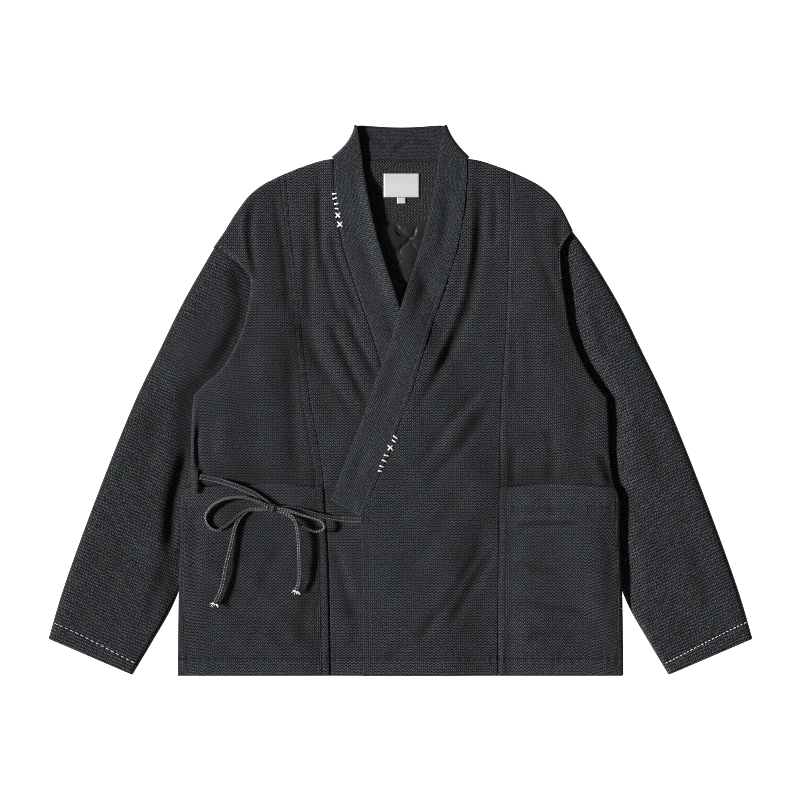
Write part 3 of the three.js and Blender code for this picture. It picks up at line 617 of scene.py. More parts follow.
def downEdge(rows, side, shift=0):
    # In two parts, above and below the armhole's foot, so that the rows run level below it.
    corner = [float(xAt(rows, foot["y"])), foot["y"]]
    upper = smoothPath(flip([r for r in rows if r[1] > foot["y"] + 1] + [corner], side, shift))
    lower = smoothPath(flip([corner] + [r for r in rows if r[1] < foot["y"] - 1], side, shift))

    def at(v):
        high = along(upper, np.minimum(v / foot["share"], 1))
        y = mix(foot["y"], jacket["hemY"], np.clip((v - foot["share"]) / (1 - foot["share"]), 0, 1))
        low = np.stack([np.interp(y, lower[::-1, 1], lower[::-1, 0]), y], -1)
        return np.where((v < foot["share"])[:, None], high, low)

    return at


def pathEdge(points):
    path = smoothPath(points) if len(points) > 2 else np.asarray(points, float)
    return lambda t: along(path, t)


class Panel:
    # u runs from the start edge to the end edge, v from the top to the bottom.
    def __init__(self, top, bottom, start, end):
        self.edges = top, bottom, start, end
        self.corners = [edgeLine(np.full(1, t))[0] for edgeLine in (top, bottom) for t in (0.0, 1.0)]

    def place(self, u, v):
        shape = np.broadcast(u, v).shape
        u, v = (np.broadcast_to(k, shape).ravel() for k in (u, v))
        top, bottom, start, end = (edgeLine(t) for edgeLine, t in zip(self.edges, (u, u, v, v)))
        a, b = u[:, None], v[:, None]
        p = top * (1 - b) + bottom * b + start * (1 - a) + end * a
        c = self.corners
        p = p - c[0] * (1 - a) * (1 - b) - c[1] * a * (1 - b) - c[2] * (1 - a) * b - c[3] * a * b
        return p[:, 0].reshape(shape), p[:, 1].reshape(shape)


def bodyRows(cell):
    # Shares down a body panel, finer at the shoulder and hem.
    upper = stops(300, 1.4, cell, cell, 9, cell) * foot["share"]
    lower = mix(foot["share"], 1, stops(foot["y"] - jacket["hemY"], cell, cell, 1.4, cell, 30))
    return np.unique(np.concatenate([upper, lower]))


def gaps(u, v, width, length):
    return {"start": u * width, "end": (1 - u) * width, "top": v * length, "bottom": (1 - v) * length}


# An open edge is rolled over this far in and curls in by a share of the wall from both faces. An edge that is
# sewn to a neighbour is counted as if it were far away.
edge = {"roll": 7, "curl": 0.36, "sideRoll": 16, "sideDrop": 1.4, "far": 60}

# The back: one panel with the outline that the shoulders, armholes and sides give it.
shoulders = {
    "under": flip(shoulder + [[236, 228.5], armhole["under"][0]], -1),
    "over": flip(shoulder[:-1] + [armhole["over"][0]], 1),
}


def hem(ax, bx):
    return pathEdge([[ax, jacket["hemY"]], [bx, jacket["hemY"]]])


def outerEdge(name):
    return downEdge(armhole[name] + sideEdge, sides[name])


backCut = {"flat": (0.62, 0.71), "area": 0.40, "cell": 5.0, "fine": 1.6, "zone": 8, "warp": 0.02}
neckLine = [[x, jacket["neckY"] - 0.4] for x in (-60, 0, 60)]
backPanel = Panel(
    pathEdge(shoulders["under"][::-1] + neckLine + shoulders["over"]), hem(-jacket["hemHalf"], jacket["hemHalf"]),
    outerEdge("under"), outerEdge("over"),
)
backWidth = 2 * jacket["hemHalf"]
us = stops(backWidth, backCut["fine"], backCut["cell"], backCut["fine"], backCut["zone"], backCut["zone"])
us = us - backCut["warp"] * np.sin(4 * math.pi * us)  # columns are closer near the sides and the middle
u, v = np.meshgrid(us, bodyRows(backCut["cell"]))
x, y = backPanel.place(u, v)
curl = edge["curl"] * jacket["backWall"] * roll(
    np.minimum.reduce(list(gaps(u, v, backWidth, jacket["length"]).values())), edge["roll"],
)
base = backLift(x, y)
back = makeWall("back_cloth", x, y, base + curl, base + jacket["backWall"] - curl, bodyCotton, (x, y))
standFor("back")
print("jacket: back made")

# The fronts: a centre and a side panel each. The side panel's edge is felled over the centre's and
# stitched twice. The hem is turned up 21 mm and stitched once.
front = {
    "width": {"centre": 130, "side": 150}, "puff": {"centre": 0.8, "side": 1.0}, "halfGap": 0.15, "collarGap": 0.5,
    "fell": 10.0, "fellHigh": 0.3, "seamStitches": (1.6, 8.4), "armStitches": (4.0, 8.5), "edgeStitch": 6.5,
    "hemStitch": 21.5, "hemPuff": 0.6, "groove": 0.8, "grooveWide": 0.9, "pitch": 4.0, "threadLift": 0.12,
    "pucker": 0.26, "puckerLong": 9.5, "puckerWide": 9, "seamDip": 0.3, "sag": 1.6, "sink": 0.25, "least": 1.2,
    "climb": 48, "climbShare": 0.8, "underShare": 0.6, "collarEnd": (-162, -154), "cell": 3.0, "fine": 0.9,
    "coarse": 1.1,
}
# Painted shade lines along edges and stitches. Columns: the edge, how far in from it in mm, half width, depth.
hemLines = [("bottom", 22.7, 1.1, 0.5), ("bottom", 0, 1.4, 0.5)]
paintedShadeLines = {
    "centre": hemLines + [("end", 0, 1.2, 0.15)],
    "side": hemLines + [("start", 0, 1.2, 0.1), ("start", 9.2, 1.4, 0.5), ("end", 0, 1.8, 0.4)],
    "pocket": [
        ("bottom", 22.7, 1.1, 0.5), ("bottom", 0, 1.4, 0.4), ("top", 28, 1.1, 0.5), ("inner", 9.2, 1.1, 0.5),
        ("inner", 12.2, 1.1, 0.5), ("outer", 0, 1.6, 0.35),
    ],
}
stitchLines = []  # rows of points in mm, for the sewing thread
rungs = []  # pairs of rows, for the bars across the armhole stitching
sideHeights = {}
neckCorner = [90.6, 325.2]
collarEdge = [neckCorner] + [r[:2] for r in bandFront] + [[-51, -230], [-51, jacket["hemY"]]]


def pits(run):
    # How deep a row of stitches pulls the cloth in, along the row.
    return 0.7 + 0.3 * np.sin(run * 2 * math.pi / front["pitch"])


def puckers(distance, run):
    wave = np.sin(2 * math.pi * run / front["puckerLong"] + 1.3 * np.sin(run / 31))
    return front["pucker"] * wave * np.exp(-((distance / front["puckerWide"]) ** 2))


def collarRaise(name, x, y, collarGap):
    # The front climbs to meet the thicker collar that it is sewn to.
    low = overBandBase(x, y) if name == "over" else bandLow(x, y)
    high = np.maximum(low + band["thick"] - bases[name](x, y) - jacket["wall"], 0)
    covered = smooth(y, 35, 85) if name == "under" else 1  # lower down, the other front lies on it
    return front["climbShare"] * high * covered * fade(collarGap, 0, front["climb"])


def stitchRows(name, part):
    # Rows of stitches on a front panel. Columns: the edge, how far in from it, the share where it starts and ends.
    rows = [("bottom", front["hemStitch"], 0.01, 0.99)]
    if part == "side":
        rows += [("start", at, 0.004, 0.998) for at in front["seamStitches"]]
        rows += [("end", at, 0.01, 0.135) for at in front["armStitches"]]
    elif name == "over":
        rows += [("start", front["edgeStitch"], 0.70, 0.998)]
    return rows


def frontSurface(name, part, panel):
    # The height of a front panel's two faces at a share of its width and length.
    base, far = bases[name], edge["far"]

    def heights(u, v):
        x, y = panel.place(u, v)
        near = gaps(u, v, front["width"][part], jacket["length"])
        joins = dict(near)
        if part == "centre":
            above = smooth(y, *front["collarEnd"])
            joins.update(start=near["start"] + far * above, end=near["end"] + far)
            seamGap, sewnGap = near["end"], near["start"] + far * (1 - above)
            rise, tucks = collarRaise(name, x, y, sewnGap), puckers(sewnGap, y * 0.9)
        else:
            top = tuck["start"][name]
            joins.update(start=near["start"] + far, end=near["end"] + far * smooth(y, top + 10, top + 30))
            seamGap, sewnGap = near["start"], near["end"] + far * fade(y, 170, 190)
            rise, tucks = 0, 0
        openGap = np.minimum.reduce(list(joins.values()))
        z = base(x, y) + jacket["wall"] + front["puff"][part] * np.sin(math.pi * u) + foldDepth(folds[name], x, y)
        z = z + rise + ripple(x, y, drape["body"]) * smooth(openGap, 2, 25) - front["sink"]
        for gap, wide in ((seamGap, 10), (sewnGap, 8)):
            z = z - front["seamDip"] * (bump(gap, 0, 1.1) + bump(gap, 0, wide))
        z = z + puckers(seamGap, y) + tucks
        if part == "side":
            z = z - edge["sideDrop"] * roll(joins["end"], edge["sideRoll"])
            z = z + front["fellHigh"] * fade(seamGap, front["fell"] - 0.8, front["fell"] + 0.8)
            # the cloth sags a little behind the pocket's mouth
            z = z - front["sag"] * np.sin(math.pi * u) * bump(y, pocket["mouth"] - 4, 12)
        for key, at, _, _ in stitchRows(name, part):
            away = near[key]
            if key == "end":
                away = away + far * fade(y, 176, 186)
            elif key == "start" and part == "centre":
                away = away + far * smooth(y, -150, -140)
            z = z - front["groove"] * pits(x if key == "bottom" else y) * bump(away, at, front["grooveWide"])
        z = z + puckers(near["bottom"] - front["hemStitch"], x) * 1.6 + front["hemPuff"] * bump(near["bottom"], 11, 8)
        curl = edge["curl"] * jacket["wall"] * roll(openGap, edge["roll"])
        lower = np.minimum(base(x, y) + front["underShare"] * rise + curl, z - curl - front["least"])
        return x, y, lower, z - curl

    return heights


def lineTone(near, part):
    # Doubled cloth at the hem looks paler; painted shade makes a dark line along edges and stitch lines.
    tone = 0.14 * fade(near["bottom"], front["hemStitch"] - 2, front["hemStitch"])
    for key, at, wide, deep in paintedShadeLines[part]:
        tone = tone - deep * bump(near[key], at, wide)
    return tone


def collarShade(x, y):
    # The lower front holds less light beside the free edge of the collar that crosses it, and below its end.
    (ax, ay), (bx, by) = bandFront[-1][:2], bandFront[-1][2:]
    beside = xAt([row[2:] for row in bandFront], y) - x
    below = ((x - ax) * (ay - by) - (y - ay) * (ax - bx)) / math.hypot(ax - bx, ay - by)
    left = np.exp(-((np.maximum(beside, 0) / 11) ** 2)) * smooth(y, by - 4, by + 4) * fade(y, 96, 120)
    under = np.exp(-((np.maximum(below, 0) / 9) ** 2)) * fade(y, by - 4, by + 4) * smooth(x, bx - 8, bx + 2)
    return 0.34 * (left * (beside > 0) + under * (below > 0))


# Painted tone on a front: painted shade along stitch lines, folds and free edges, and a darker over side panel where
# the lamp lights it more; the felled strip is paler.
def frontTone(near, part, name, x, y):
    tone = lineTone(near, part) + foldTone(folds[name], x, y)
    if part == "side":
        tone = tone + 0.12 * fade(near["start"], 7, 8.6) - (0.16 if name == "over" else 0.03)
        # painted shade in the pocket's mouth and on the cloth just above it
        return tone - 0.65 * bump(y, pocket["mouth"] + 1.5, 2.4) - 0.26 * bump(y, pocket["mouth"] + 10, 26)
    freeEdge = fade(y, -158, -150)
    tone = tone - (0.2 + 0.35 * freeEdge) * bump(near["start"], 0, 1.2 + freeEdge)
    tone = tone - 0.25 * freeEdge * bump(near["start"], 3, 4)
    return tone - collarShade(x, y) if name == "under" else tone


def bodyGrain(x, y, name):
    # The rows of the weave climb beside the armholes, where the cloth is drawn up.
    rise = {"under": 8, "over": 20}[name]
    return x, y - rise * smooth(np.abs(x), 190, 285) * bump(y, 20, 95)


for name, side in sides.items():
    seam, half, collarGap = panelSeam[name], front["halfGap"], front["collarGap"]
    nearNeck = [p for p in shoulders[name] if abs(p[0]) < seam[0][0]]
    nearArm = [p for p in shoulders[name] if abs(p[0]) > seam[0][0]]
    nearNeck[0] = [side * (neckCorner[0] + collarGap), neckCorner[1]]
    panels = {
        "centre": Panel(
            pathEdge(nearNeck + flip(seam[:1], side, -half)),
            hem(side * (jacket["frontX"] + collarGap), side * (seam[-1][0] - half)),
            downEdge(collarEdge, side, collarGap), downEdge(seam, side, -half),
        ),
        "side": Panel(
            pathEdge(flip(seam[:1], side, half) + nearArm),
            hem(side * (seam[-1][0] + half), side * jacket["hemHalf"]),
            downEdge(seam, side, half), outerEdge(name),
        ),
    }
    for part, panel in panels.items():
        width, node = front["width"][part], f"front_{name}_{part}"
        heights = frontSurface(name, part, panel)
        first, last = front["coarse"], front["fine"]
        if part == "side":
            first, last = last, first
        u, v = np.meshgrid(stops(width, first, front["cell"], last, 10, 10), bodyRows(front["cell"]))
        x, y, lower, upper = heights(u, v)
        tone = paintedBendLight(x, y, upper) + frontTone(gaps(u, v, width, jacket["length"]), part, name, x, y)
        piece = makeWall(f"{node}_cloth", x, y, lower, upper, bodyCotton, bodyGrain(x, y, name), tone)
        standFor(node)
        for key, at, low, high in stitchRows(name, part):
            t = np.linspace(low, high, 700)
            place = {
                "start": (at / width + 0 * t, t), "end": (1 - at / width + 0 * t, t),
                "bottom": (t, 1 - at / jacket["length"] + 0 * t),
            }[key]
            px, py, _, pz = heights(*place)
            stitchLines.append(np.stack([px, py, pz + front["threadLift"]], -1))
        if part == "side":
            rungs.append(stitchLines[-2:])
            sideHeights[name] = heights
print("jacket: fronts made")

# Patch pockets: the side panel's own surface, moved out, with a gaping mouth, a 27 mm mouth hem and creases.
mouthV = mix(foot["share"], 1, (foot["y"] - pocket["mouth"]) / (foot["y"] - jacket["hemY"]))
pocketDeep, pocketWide = pocket["mouth"] - jacket["hemY"], front["width"]["side"]
for name, side in sides.items():
    low, high = pocket["inset"][0] / pocketWide, 1 - pocket["inset"][1] / pocketWide
    us = mix(low, high, stops(pocketWide, 1.1, 3.0, 1.1, 12, 10))
    vs = mix(mouthV, 1, stops(pocketDeep, 0.8, 3.0, 1.4, 34, 26))
    u, v = np.meshgrid(us, vs)
    x, y, _, cloth = sideHeights[name](u, v)
    down, bottom = (v - mouthV) / (1 - mouthV) * pocketDeep, (1 - v) * jacket["length"]
    inner, outer = (u - low) * pocketWide, (high - u) * pocketWide
    near = {"top": down, "bottom": bottom, "inner": inner, "outer": outer}
    across = (u - low) / (high - low)
    gape = pocket["gape"] * np.sin(math.pi * across) ** 0.7 * fade(down, 0, pocket["gapeLength"])
    thin = 1 - 0.85 * fade(inner, 5, 34) - 0.7 * fade(outer, 0, 24)
    lower = cloth + pocket["gap"] * thin + gape
    rim = np.minimum.reduce([down, inner + 1.5, outer + 1.0, bottom])
    upper = lower + pocket["thick"] * thin * (1 - edge["curl"] * roll(rim, pocket["roll"]))
    upper = upper + pocket["puff"] * smooth(rim, 0, 40) * (1 - 0.5 * smooth(down, 120, 230))
    upper = upper + foldDepth(folds[f"pocket_{name}"], x, y) * smooth(rim, 0, 14)
    upper = upper + ripple(x, y, drape["pocket"]) * smooth(rim, 0, 25)
    rowStitches = [("top", pocket["mouthStitch"]), ("bottom", front["hemStitch"])]
    columnStitches = [("inner", at) for at in pocket["innerStitches"]] + [("outer", pocket["outerStitch"])]
    for key, at in rowStitches:
        upper = upper - 0.9 * pits(x if key == "top" else y) * bump(near[key], at, 0.9)
    for key, at in columnStitches:
        upper = upper - 0.6 * pits(y) * bump(near[key], at, 0.9)
    upper = upper + 0.45 * bump(down, 13, 9) + 1.6 * puckers(down - pocket["mouthStitch"], x)
    upper = np.maximum(upper + puckers(bottom - front["hemStitch"], x), lower + pocket["least"])
    # Painted shade along stitches, folds, the mouth's top edge and the outer edge, painted light and shade from bends,
    # and a paler mouth hem.
    tone = paintedBendLight(x, y, upper) + foldTone(folds[f"pocket_{name}"], x, y) + lineTone(near, "pocket") - 0.14
    tone = tone + (0.17 * fade(down, 25, 27) - 0.3 * bump(down, 0, 1.0)) * smooth(inner, 11, 13)
    tone = tone + 0.1 * fade(inner, 7, 8.4) - pocket["shade"][name] * fade(outer, 0, 13)
    bend = pocket["bend"][name] * smooth(np.abs(x), 246, 302) * smooth(-y, 150, 260)
    grain = x + pocket["grainShift"], y + bend
    piece = makeWall(f"pocket_{name}_cloth", x, y, lower, upper, pocketCotton, grain, tone)
    standFor(f"pocket_{name}")
    surface = np.stack([x, y, upper + front["threadLift"]], -1)
    for key, at in rowStitches:
        stitchLines.append(surface[np.argmin(np.abs(near[key][:, 0] - at)), 2:-2])
    for key, at in columnStitches:
        stitchLines.append(surface[3:-2, np.argmin(np.abs(near[key][0] - at))])
print("jacket: pockets made")


def restTop(x, y):
    # The top of the cloth that the ties lie on: the lower front and its pocket.
    overPocket = smooth(np.abs(x), 92, 107) * fade(y, pocket["mouth"] - 1, pocket["mouth"] + 8)
    gape = pocket["gape"] * fade(pocket["mouth"] - y, 0, pocket["gapeLength"])
    return frontBase(x, y) + jacket["wall"] + 1 + overPocket * (pocket["gap"] + pocket["thick"] + gape + 0.6)


# Ties: flat tapes, sewn along both edges. Columns: x, y, rise above the cloth, turn on edge in degrees.
# "from" and "to" are places on the knot: bearing, height, turn.
tie = {"width": 7.4, "thick": 2.0, "sides": 16, "step": 1.5, "stitchIn": 1.2, "stitch": 2.2, "gap": 1.7}
knot = {
    "x": -171.2, "y": -144.6, "rx": 6.6, "ry": 5.8, "rz": 5.0, "reachX": 5.6, "reachY": 4.8, "seat": 4.4,
    "around": 40, "over": 28,
}
routes = {
    "tie_side": {"to": (140, -1.2, 10), "rows": [
        [-270.1, -103, 1.4, 0], [-248, -107.5, 1.8, 0], [-222, -115.5, 2.4, 4], [-198, -125.5, 1.8, 8]]},
    "tie_front": {"to": (8, -1.6, 0), "rows": [
        [-51.2, -162, 3.0, 20], [-80, -160.5, 2.6, 34], [-107, -156, 2.4, 38], [-136, -148.5, 2.4, 28]]},
    "bow_loop_left": {"from": (166, 2.8, 20), "to": (186, -1.6, 35), "width": 4.8, "rows": [
        [-194, -136, 7.6, 30], [-207, -131.5, 7.0, 36], [-224, -131, 6.0, 42], [-241, -135, 5.0, 50],
        [-256, -145, 4.0, 58], [-262, -158, 3.6, 62], [-257, -170, 3.4, 62], [-247, -175, 3.4, 58],
        [-236, -171, 3.6, 52], [-224, -161.5, 4.0, 46], [-211, -151, 4.4, 40], [-197, -146.5, 4.8, 35]]},
    "bow_loop_right": {"from": (-12, 3.5, 20), "to": (-42, -1.2, 35), "width": 4.8, "rows": [
        [-151, -148, 7.8, 30], [-136, -153.5, 7.4, 40], [-120, -158, 7.0, 50], [-107, -163, 6.6, 58],
        [-102, -171, 6.2, 62], [-109, -177, 5.6, 62], [-122, -174.5, 5.2, 56], [-136, -166.5, 5.2, 46],
        [-149, -156.5, 5.2, 38]]},
    "bow_tail_left": {"from": (200, -3.2, 0), "width": 5.4, "rows": [
        [-191, -147.5, 2.2, 4], [-203, -147.5, 2.8, 8], [-212.5, -154, 3.2, 10], [-221, -168, 3.8, 8],
        [-228, -196, 4.8, 4], [-234.5, -223, 5.8, 2], [-240, -250, 6.4, 4], [-249.5, -274, 5.6, 6]]},
    "bow_tail_right": {"from": (-30, -2.2, 20), "width": 5.2, "rows": [  # its tape is folded lengthwise
        [-158, -149.5, 4.6, 24], [-148.5, -154.5, 6.2, 26], [-141.5, -164, 7.4, 24], [-138, -180, 8.2, 20],
        [-136.5, -202, 8.4, 16], [-136, -224, 7.8, 14], [-136.4, -243, 6.4, 12], [-140.5, -257, 4.6, 10]]},
}
knotZ = float(restTop(np.array(knot["x"]), np.array(knot["y"]))) + knot["seat"]


def knotPoint(bearing, z, turn):
    a = math.radians(bearing)
    return [knot["x"] + knot["reachX"] * math.cos(a), knot["y"] + knot["reachY"] * math.sin(a), knotZ + z, turn]


def tieRoute(entry):
    rows = np.array(entry["rows"], float)
    rest = restTop(rows[:, 0], rows[:, 1])
    points = [knotPoint(*entry["from"])] if "from" in entry else []
    points += [[x, y, z + rise, turn] for (x, y, rise, turn), z in zip(rows, rest)]
    points += [knotPoint(*entry["to"])] if "to" in entry else []
    eased = 9  # degrees of turn that count as a mm, so that the turn is eased along with the place
    path = smoothPath(np.array(points) / [1, 1, 1, eased])
    count = max(12, round(lengths(path[:, :3])[-1] / tie["step"]))
    path = along(path, np.linspace(0, 1, count))
    return path[:, :3], np.radians(path[:, 3] * eased)


def tieFrame(path, turn):
    # The ways across and out of a tape, along its path.
    run = np.gradient(path, axis=0)
    run = run / np.linalg.norm(run, axis=1)[:, None]
    flat = np.stack([-run[:, 1], run[:, 0], 0 * run[:, 0]], -1)
    flat = flat / np.linalg.norm(flat, axis=1)[:, None]
    high = np.cross(run, flat)
    c, s = np.cos(turn)[:, None], np.sin(turn)[:, None]
    return flat * c + high * s, high * c - flat * s


def tapeRings(path, wide, high, width, thick, pinch):
    # A flat tape's section: a rounded edge each side, and a shallow groove along each row of stitches.
    count = tie["sides"]
    a = np.linspace(0, 2 * math.pi, count, endpoint=False) + math.pi / count
    px = np.sign(np.cos(a)) * np.abs(np.cos(a)) ** 0.55 * width / 2
    pz = np.sign(np.sin(a)) * np.abs(np.sin(a)) ** 0.8 * thick / 2
    pz = pz * (1 - 0.3 * bump(np.abs(px), width / 2 - tie["stitchIn"], 0.7))
    rings = path[:, None] + wide[:, None] * (px * pinch[:, None])[..., None] + high[:, None] * pz[None, :, None]
    run, shape = lengths(path), rings.shape[:2]
    grain = np.stack([np.broadcast_to(px, shape), np.broadcast_to(run[:, None], shape)], -1)
    # The edges are painted paler in dashes along the stitches, partly the stitching and partly a painted highlight on
    # the rounded edges; the middle is darker.
    pale = np.broadcast_to(0.7 * smooth(np.abs(px), width / 2 - 2.0, width / 2 - 0.4) - 0.25, shape)
    return rings, grain, pale * (0.75 + 0.25 * np.sin(run * 2 * math.pi / 3.2))[:, None]


tapes = {}
for node, entry in routes.items():
    path, turn = tieRoute(entry)
    wide, high = tieFrame(path, turn)
    width = entry.get("width", tie["width"])
    rings, grain, pale = tapeRings(path, wide, high, width, tie["thick"], np.ones(len(path)))
    piece = makeSweep(f"{node}_tape", rings, tieCotton, grain, pale)
    standFor(node)
    tapes[node] = piece, path, wide, high, width


def makeThreads(name, starts, ends, arch, width, thick, material):
    # Many short threads in one mesh: four rings of four points each, arched in the middle.
    starts, ends = np.asarray(starts, float), np.asarray(ends, float)
    run = ends - starts
    flat = np.stack([-run[:, 1], run[:, 0], 0 * run[:, 0]], -1)
    flat = flat / np.maximum(np.linalg.norm(flat, axis=1)[:, None], 1e-6)
    high = np.cross(run / np.linalg.norm(run, axis=1)[:, None], flat)
    rings = []
    for t, fat, rise in ((0.0, 0.45, 0.0), (0.22, 1.0, 1.0), (0.78, 1.0, 1.0), (1.0, 0.45, 0.0)):
        middle = starts + run * t + high * (arch * rise)
        for cx, cz in ((1, 0), (0, 1), (-1, 0), (0, -1)):
            rings.append(middle + flat * (cx * fat * width / 2) + high * (cz * fat * thick / 2))
    points = np.stack(rings, 1).reshape(-1, 3)
    one = np.vstack([tubeFaces(4, 4), [[3, 2, 1, 0]], [[12, 13, 14, 15]]])
    faces = (np.arange(len(starts))[:, None, None] * 16 + one[None]).reshape(-1, 4)
    piece = makePiece(name, points, faces, material, points[:, :2].copy())
    return piece


def stitchSpans(path, long, gap):
    run = lengths(path)
    starts = np.arange(gap, run[-1] - long, long + gap)
    return along(path, starts / run[-1]), along(path, (starts + long) / run[-1])


tapeSpans = []
for _, path, wide, high, width in tapes.values():
    for hand in (-1, 1):
        for face in (1, -1):
            row = path + wide * hand * (width / 2 - tie["stitchIn"]) + high * face * (tie["thick"] / 2 * 0.82)
            tapeSpans.append(stitchSpans(row, tie["stitch"], tie["gap"]))
starts, ends = (np.vstack(part) for part in zip(*tapeSpans))
greyThread = plainThread("grey_cotton_thread", "#a3a7a9", 0.85)
makeThreads("tape_stitching", starts, ends, 0.15, 0.9, 0.6, greyThread)

# Frayed ends: short white warp ends fan out of each hanging tape.
fray = {"threads": 15, "long": (2.5, 7.5), "fan": 1.7, "arch": 0.4, "wide": 0.75, "thick": 0.5}
chance = np.random.default_rng(7)
for node in ("bow_tail_left", "bow_tail_right"):
    _, path, wide, high, width = tapes[node]
    tip, out = path[-1], path[-1] - path[-2]
    out = out / np.linalg.norm(out)
    starts, ends = [], []
    for k in range(fray["threads"]):
        share = (k + 0.5) / fray["threads"] * 2 - 1
        root = tip - out * 1.2 + wide[-1] * share * (width / 2 - 0.5) + high[-1] * chance.uniform(-0.6, 0.6)
        sideways = wide[-1] * (share * fray["fan"] + chance.uniform(-0.35, 0.35))
        way = out + sideways + high[-1] * chance.uniform(-0.1, 0.25)
        starts.append(root)
        ends.append(root + way / np.linalg.norm(way) * chance.uniform(*fray["long"]))
    makeThreads(
        f"{node}_fray", starts, ends, fray["arch"], fray["wide"], fray["thick"], whiteThread,
    )

# The knot: a rounded pad with two turns of tape drawn tight around it.
around, over = knot["around"], knot["over"]
a, b = np.meshgrid(np.linspace(0, 2 * math.pi, around, endpoint=False), np.linspace(0, math.pi, over))
sx, sy, sz = np.sin(b) * np.cos(a), np.sin(b) * np.sin(a), np.cos(b)
lump = 1 + 0.1 * np.sin(3 * a + 0.6) * np.sin(b) ** 2 - 0.2 * bump(np.abs(sx - 0.35 * sy), 0.42, 0.12) * (sz > -0.4)
kx, ky, kz = (knot[k] * lump * s for k, s in (("rx", sx), ("ry", sy), ("rz", sz)))
ringed = np.stack([knot["x"] + kx, knot["y"] + ky, knotZ + kz], -1)
knotPoints = np.vstack([ringed[1:-1].reshape(-1, 3), ringed[0].mean(0), ringed[-1].mean(0)])
count, lastRing = (over - 2) * around, (over - 3) * around
threes = [(k, (k + 1) % around, (k + 2) % around) for k in range(0, around, 2)]
fans = [[p, q, r, count] for p, q, r in threes]
fans += [[lastRing + r, lastRing + q, lastRing + p, count + 1] for p, q, r in threes]
knotPad = makePiece(
    "bow_knot_pad", knotPoints, np.vstack([tubeFaces(over - 2, around), fans]), tieCotton,
    np.stack([knotPoints[:, 0] + knotPoints[:, 2], knotPoints[:, 1]], -1), 0.2 + 0 * knotPoints[:, 0],
)
standFor("bow_knot")

# The side tab: a short folded tape with a rounded lower end and painted shade along its edges, sewn to the side seam.
tab = {"x": -277, "top": -94, "bottom": -125.7, "width": 9.6, "thick": 2.2, "rise": 0.5, "steps": 26}
t = np.linspace(0, 1, tab["steps"])
tabX, tabY = tab["x"] + 0 * t, mix(tab["top"], tab["bottom"], t)
tabPath = np.stack([tabX, tabY, restTop(tabX, tabY) + tab["rise"] + tab["thick"] / 2 - 0.5], -1)
pinch = np.sqrt(np.clip(1 - (np.clip(t - 0.76, 0, 1) / 0.245) ** 2, 0.02, 1))
rings, grain, _ = tapeRings(tabPath, *tieFrame(tabPath, 0 * t), tab["width"], tab["thick"], pinch)
rim = 0.25 - 0.7 * smooth(np.abs(grain[..., 0]), tab["width"] / 2 - 1.3, tab["width"] / 2)
tabPiece = makeSweep("tie_tab_tape", rings, tieCotton, grain, rim)
standFor("tie_tab")
print("jacket: ties made")

# What each tie really is: a sewn cotton tape, from the jacket or the knot to the knot or its frayed end.
cordFacts = {
    "tie_side": ("knot", "taut"), "tie_front": ("knot", "taut"), "bow_loop_left": ("object", "loose"),
    "bow_loop_right": ("object", "loose"), "bow_tail_left": ("bare", "loose"), "bow_tail_right": ("bare", "loose"),
}
for node, (farEnd, lay) in cordFacts.items():
    piece, path, _, _, width = tapes[node]

# Sleeves: flattened tubes of cloth, pressed where the body's sides lie on them, open at the cuffs. The head
# is tucked under the body's raised edge.
arm = {
    "across": 150, "length": 440, "round": 160, "cuffStitch": 17.4, "share": 0.36, "inset": 0.035, "seamGap": -0.9,
    "headGap": -1.4, "headDrop": 3.6, "edgeDrop": 0.52, "edgeRise": 0.45, "least": 1.0, "lean": 24,
}
crown = {"under": [], "over": [[248.8, 205]]}


def sleeveTop(x, y, name):
    body, start = xAt(bodyLine[name], y), tuck["start"][name]
    beside = fade(np.abs(x), body + sleeve["past"], body + sleeve["ramp"])
    below = fade(y, start, start + tuck["fade"])
    return mix(sleeve["puff"], sleeve["pressed"], beside * below * smooth(y, *sleeve["cuff"]))


def sleeveRoll(u, radius):
    return roll(np.minimum(u, 1 - u) * arm["round"], radius)


def sleeveRings(x, y, upper, lower):
    lowPart = np.stack([x, y, lower], -1)[:, 1:-1][:, ::-1]
    return np.concatenate([np.stack([x, y, upper], -1), lowPart], axis=1)


def sleeveUpper(panel, name, u, v):
    x, y = panel.place(u, v)
    high = sleeveTop(x, y, name)
    z = high * (1 - arm["edgeDrop"] * sleeveRoll(u, sleeve["roll"]))
    calm = smooth(np.minimum(u, 1 - u) * arm["round"], 0, 26)
    calm = calm * smooth(high, sleeve["pressed"], sleeve["pressed"] + 2.5)
    z = z + (ripple(sides[name] * x, y, drape["sleeve"]) + foldDepth(folds[f"sleeve_{name}"], x, y)) * calm
    fromCuff = (1 - v) * arm["length"]
    z = z - 0.9 * bump(fromCuff, arm["cuffStitch"], 1.6) + 0.4 * bump(fromCuff, 13, 10) - 1.2 * roll(fromCuff, 5)
    z = z + 0.35 * np.sin(2 * math.pi * u * 16) * bump(fromCuff, arm["cuffStitch"], 9)
    headDrop = arm["headDrop"] * fade(v * arm["length"], 0, 10)
    return x, y, z - headDrop * smooth(high, sleeve["pressed"], sleeve["pressed"] + 3)


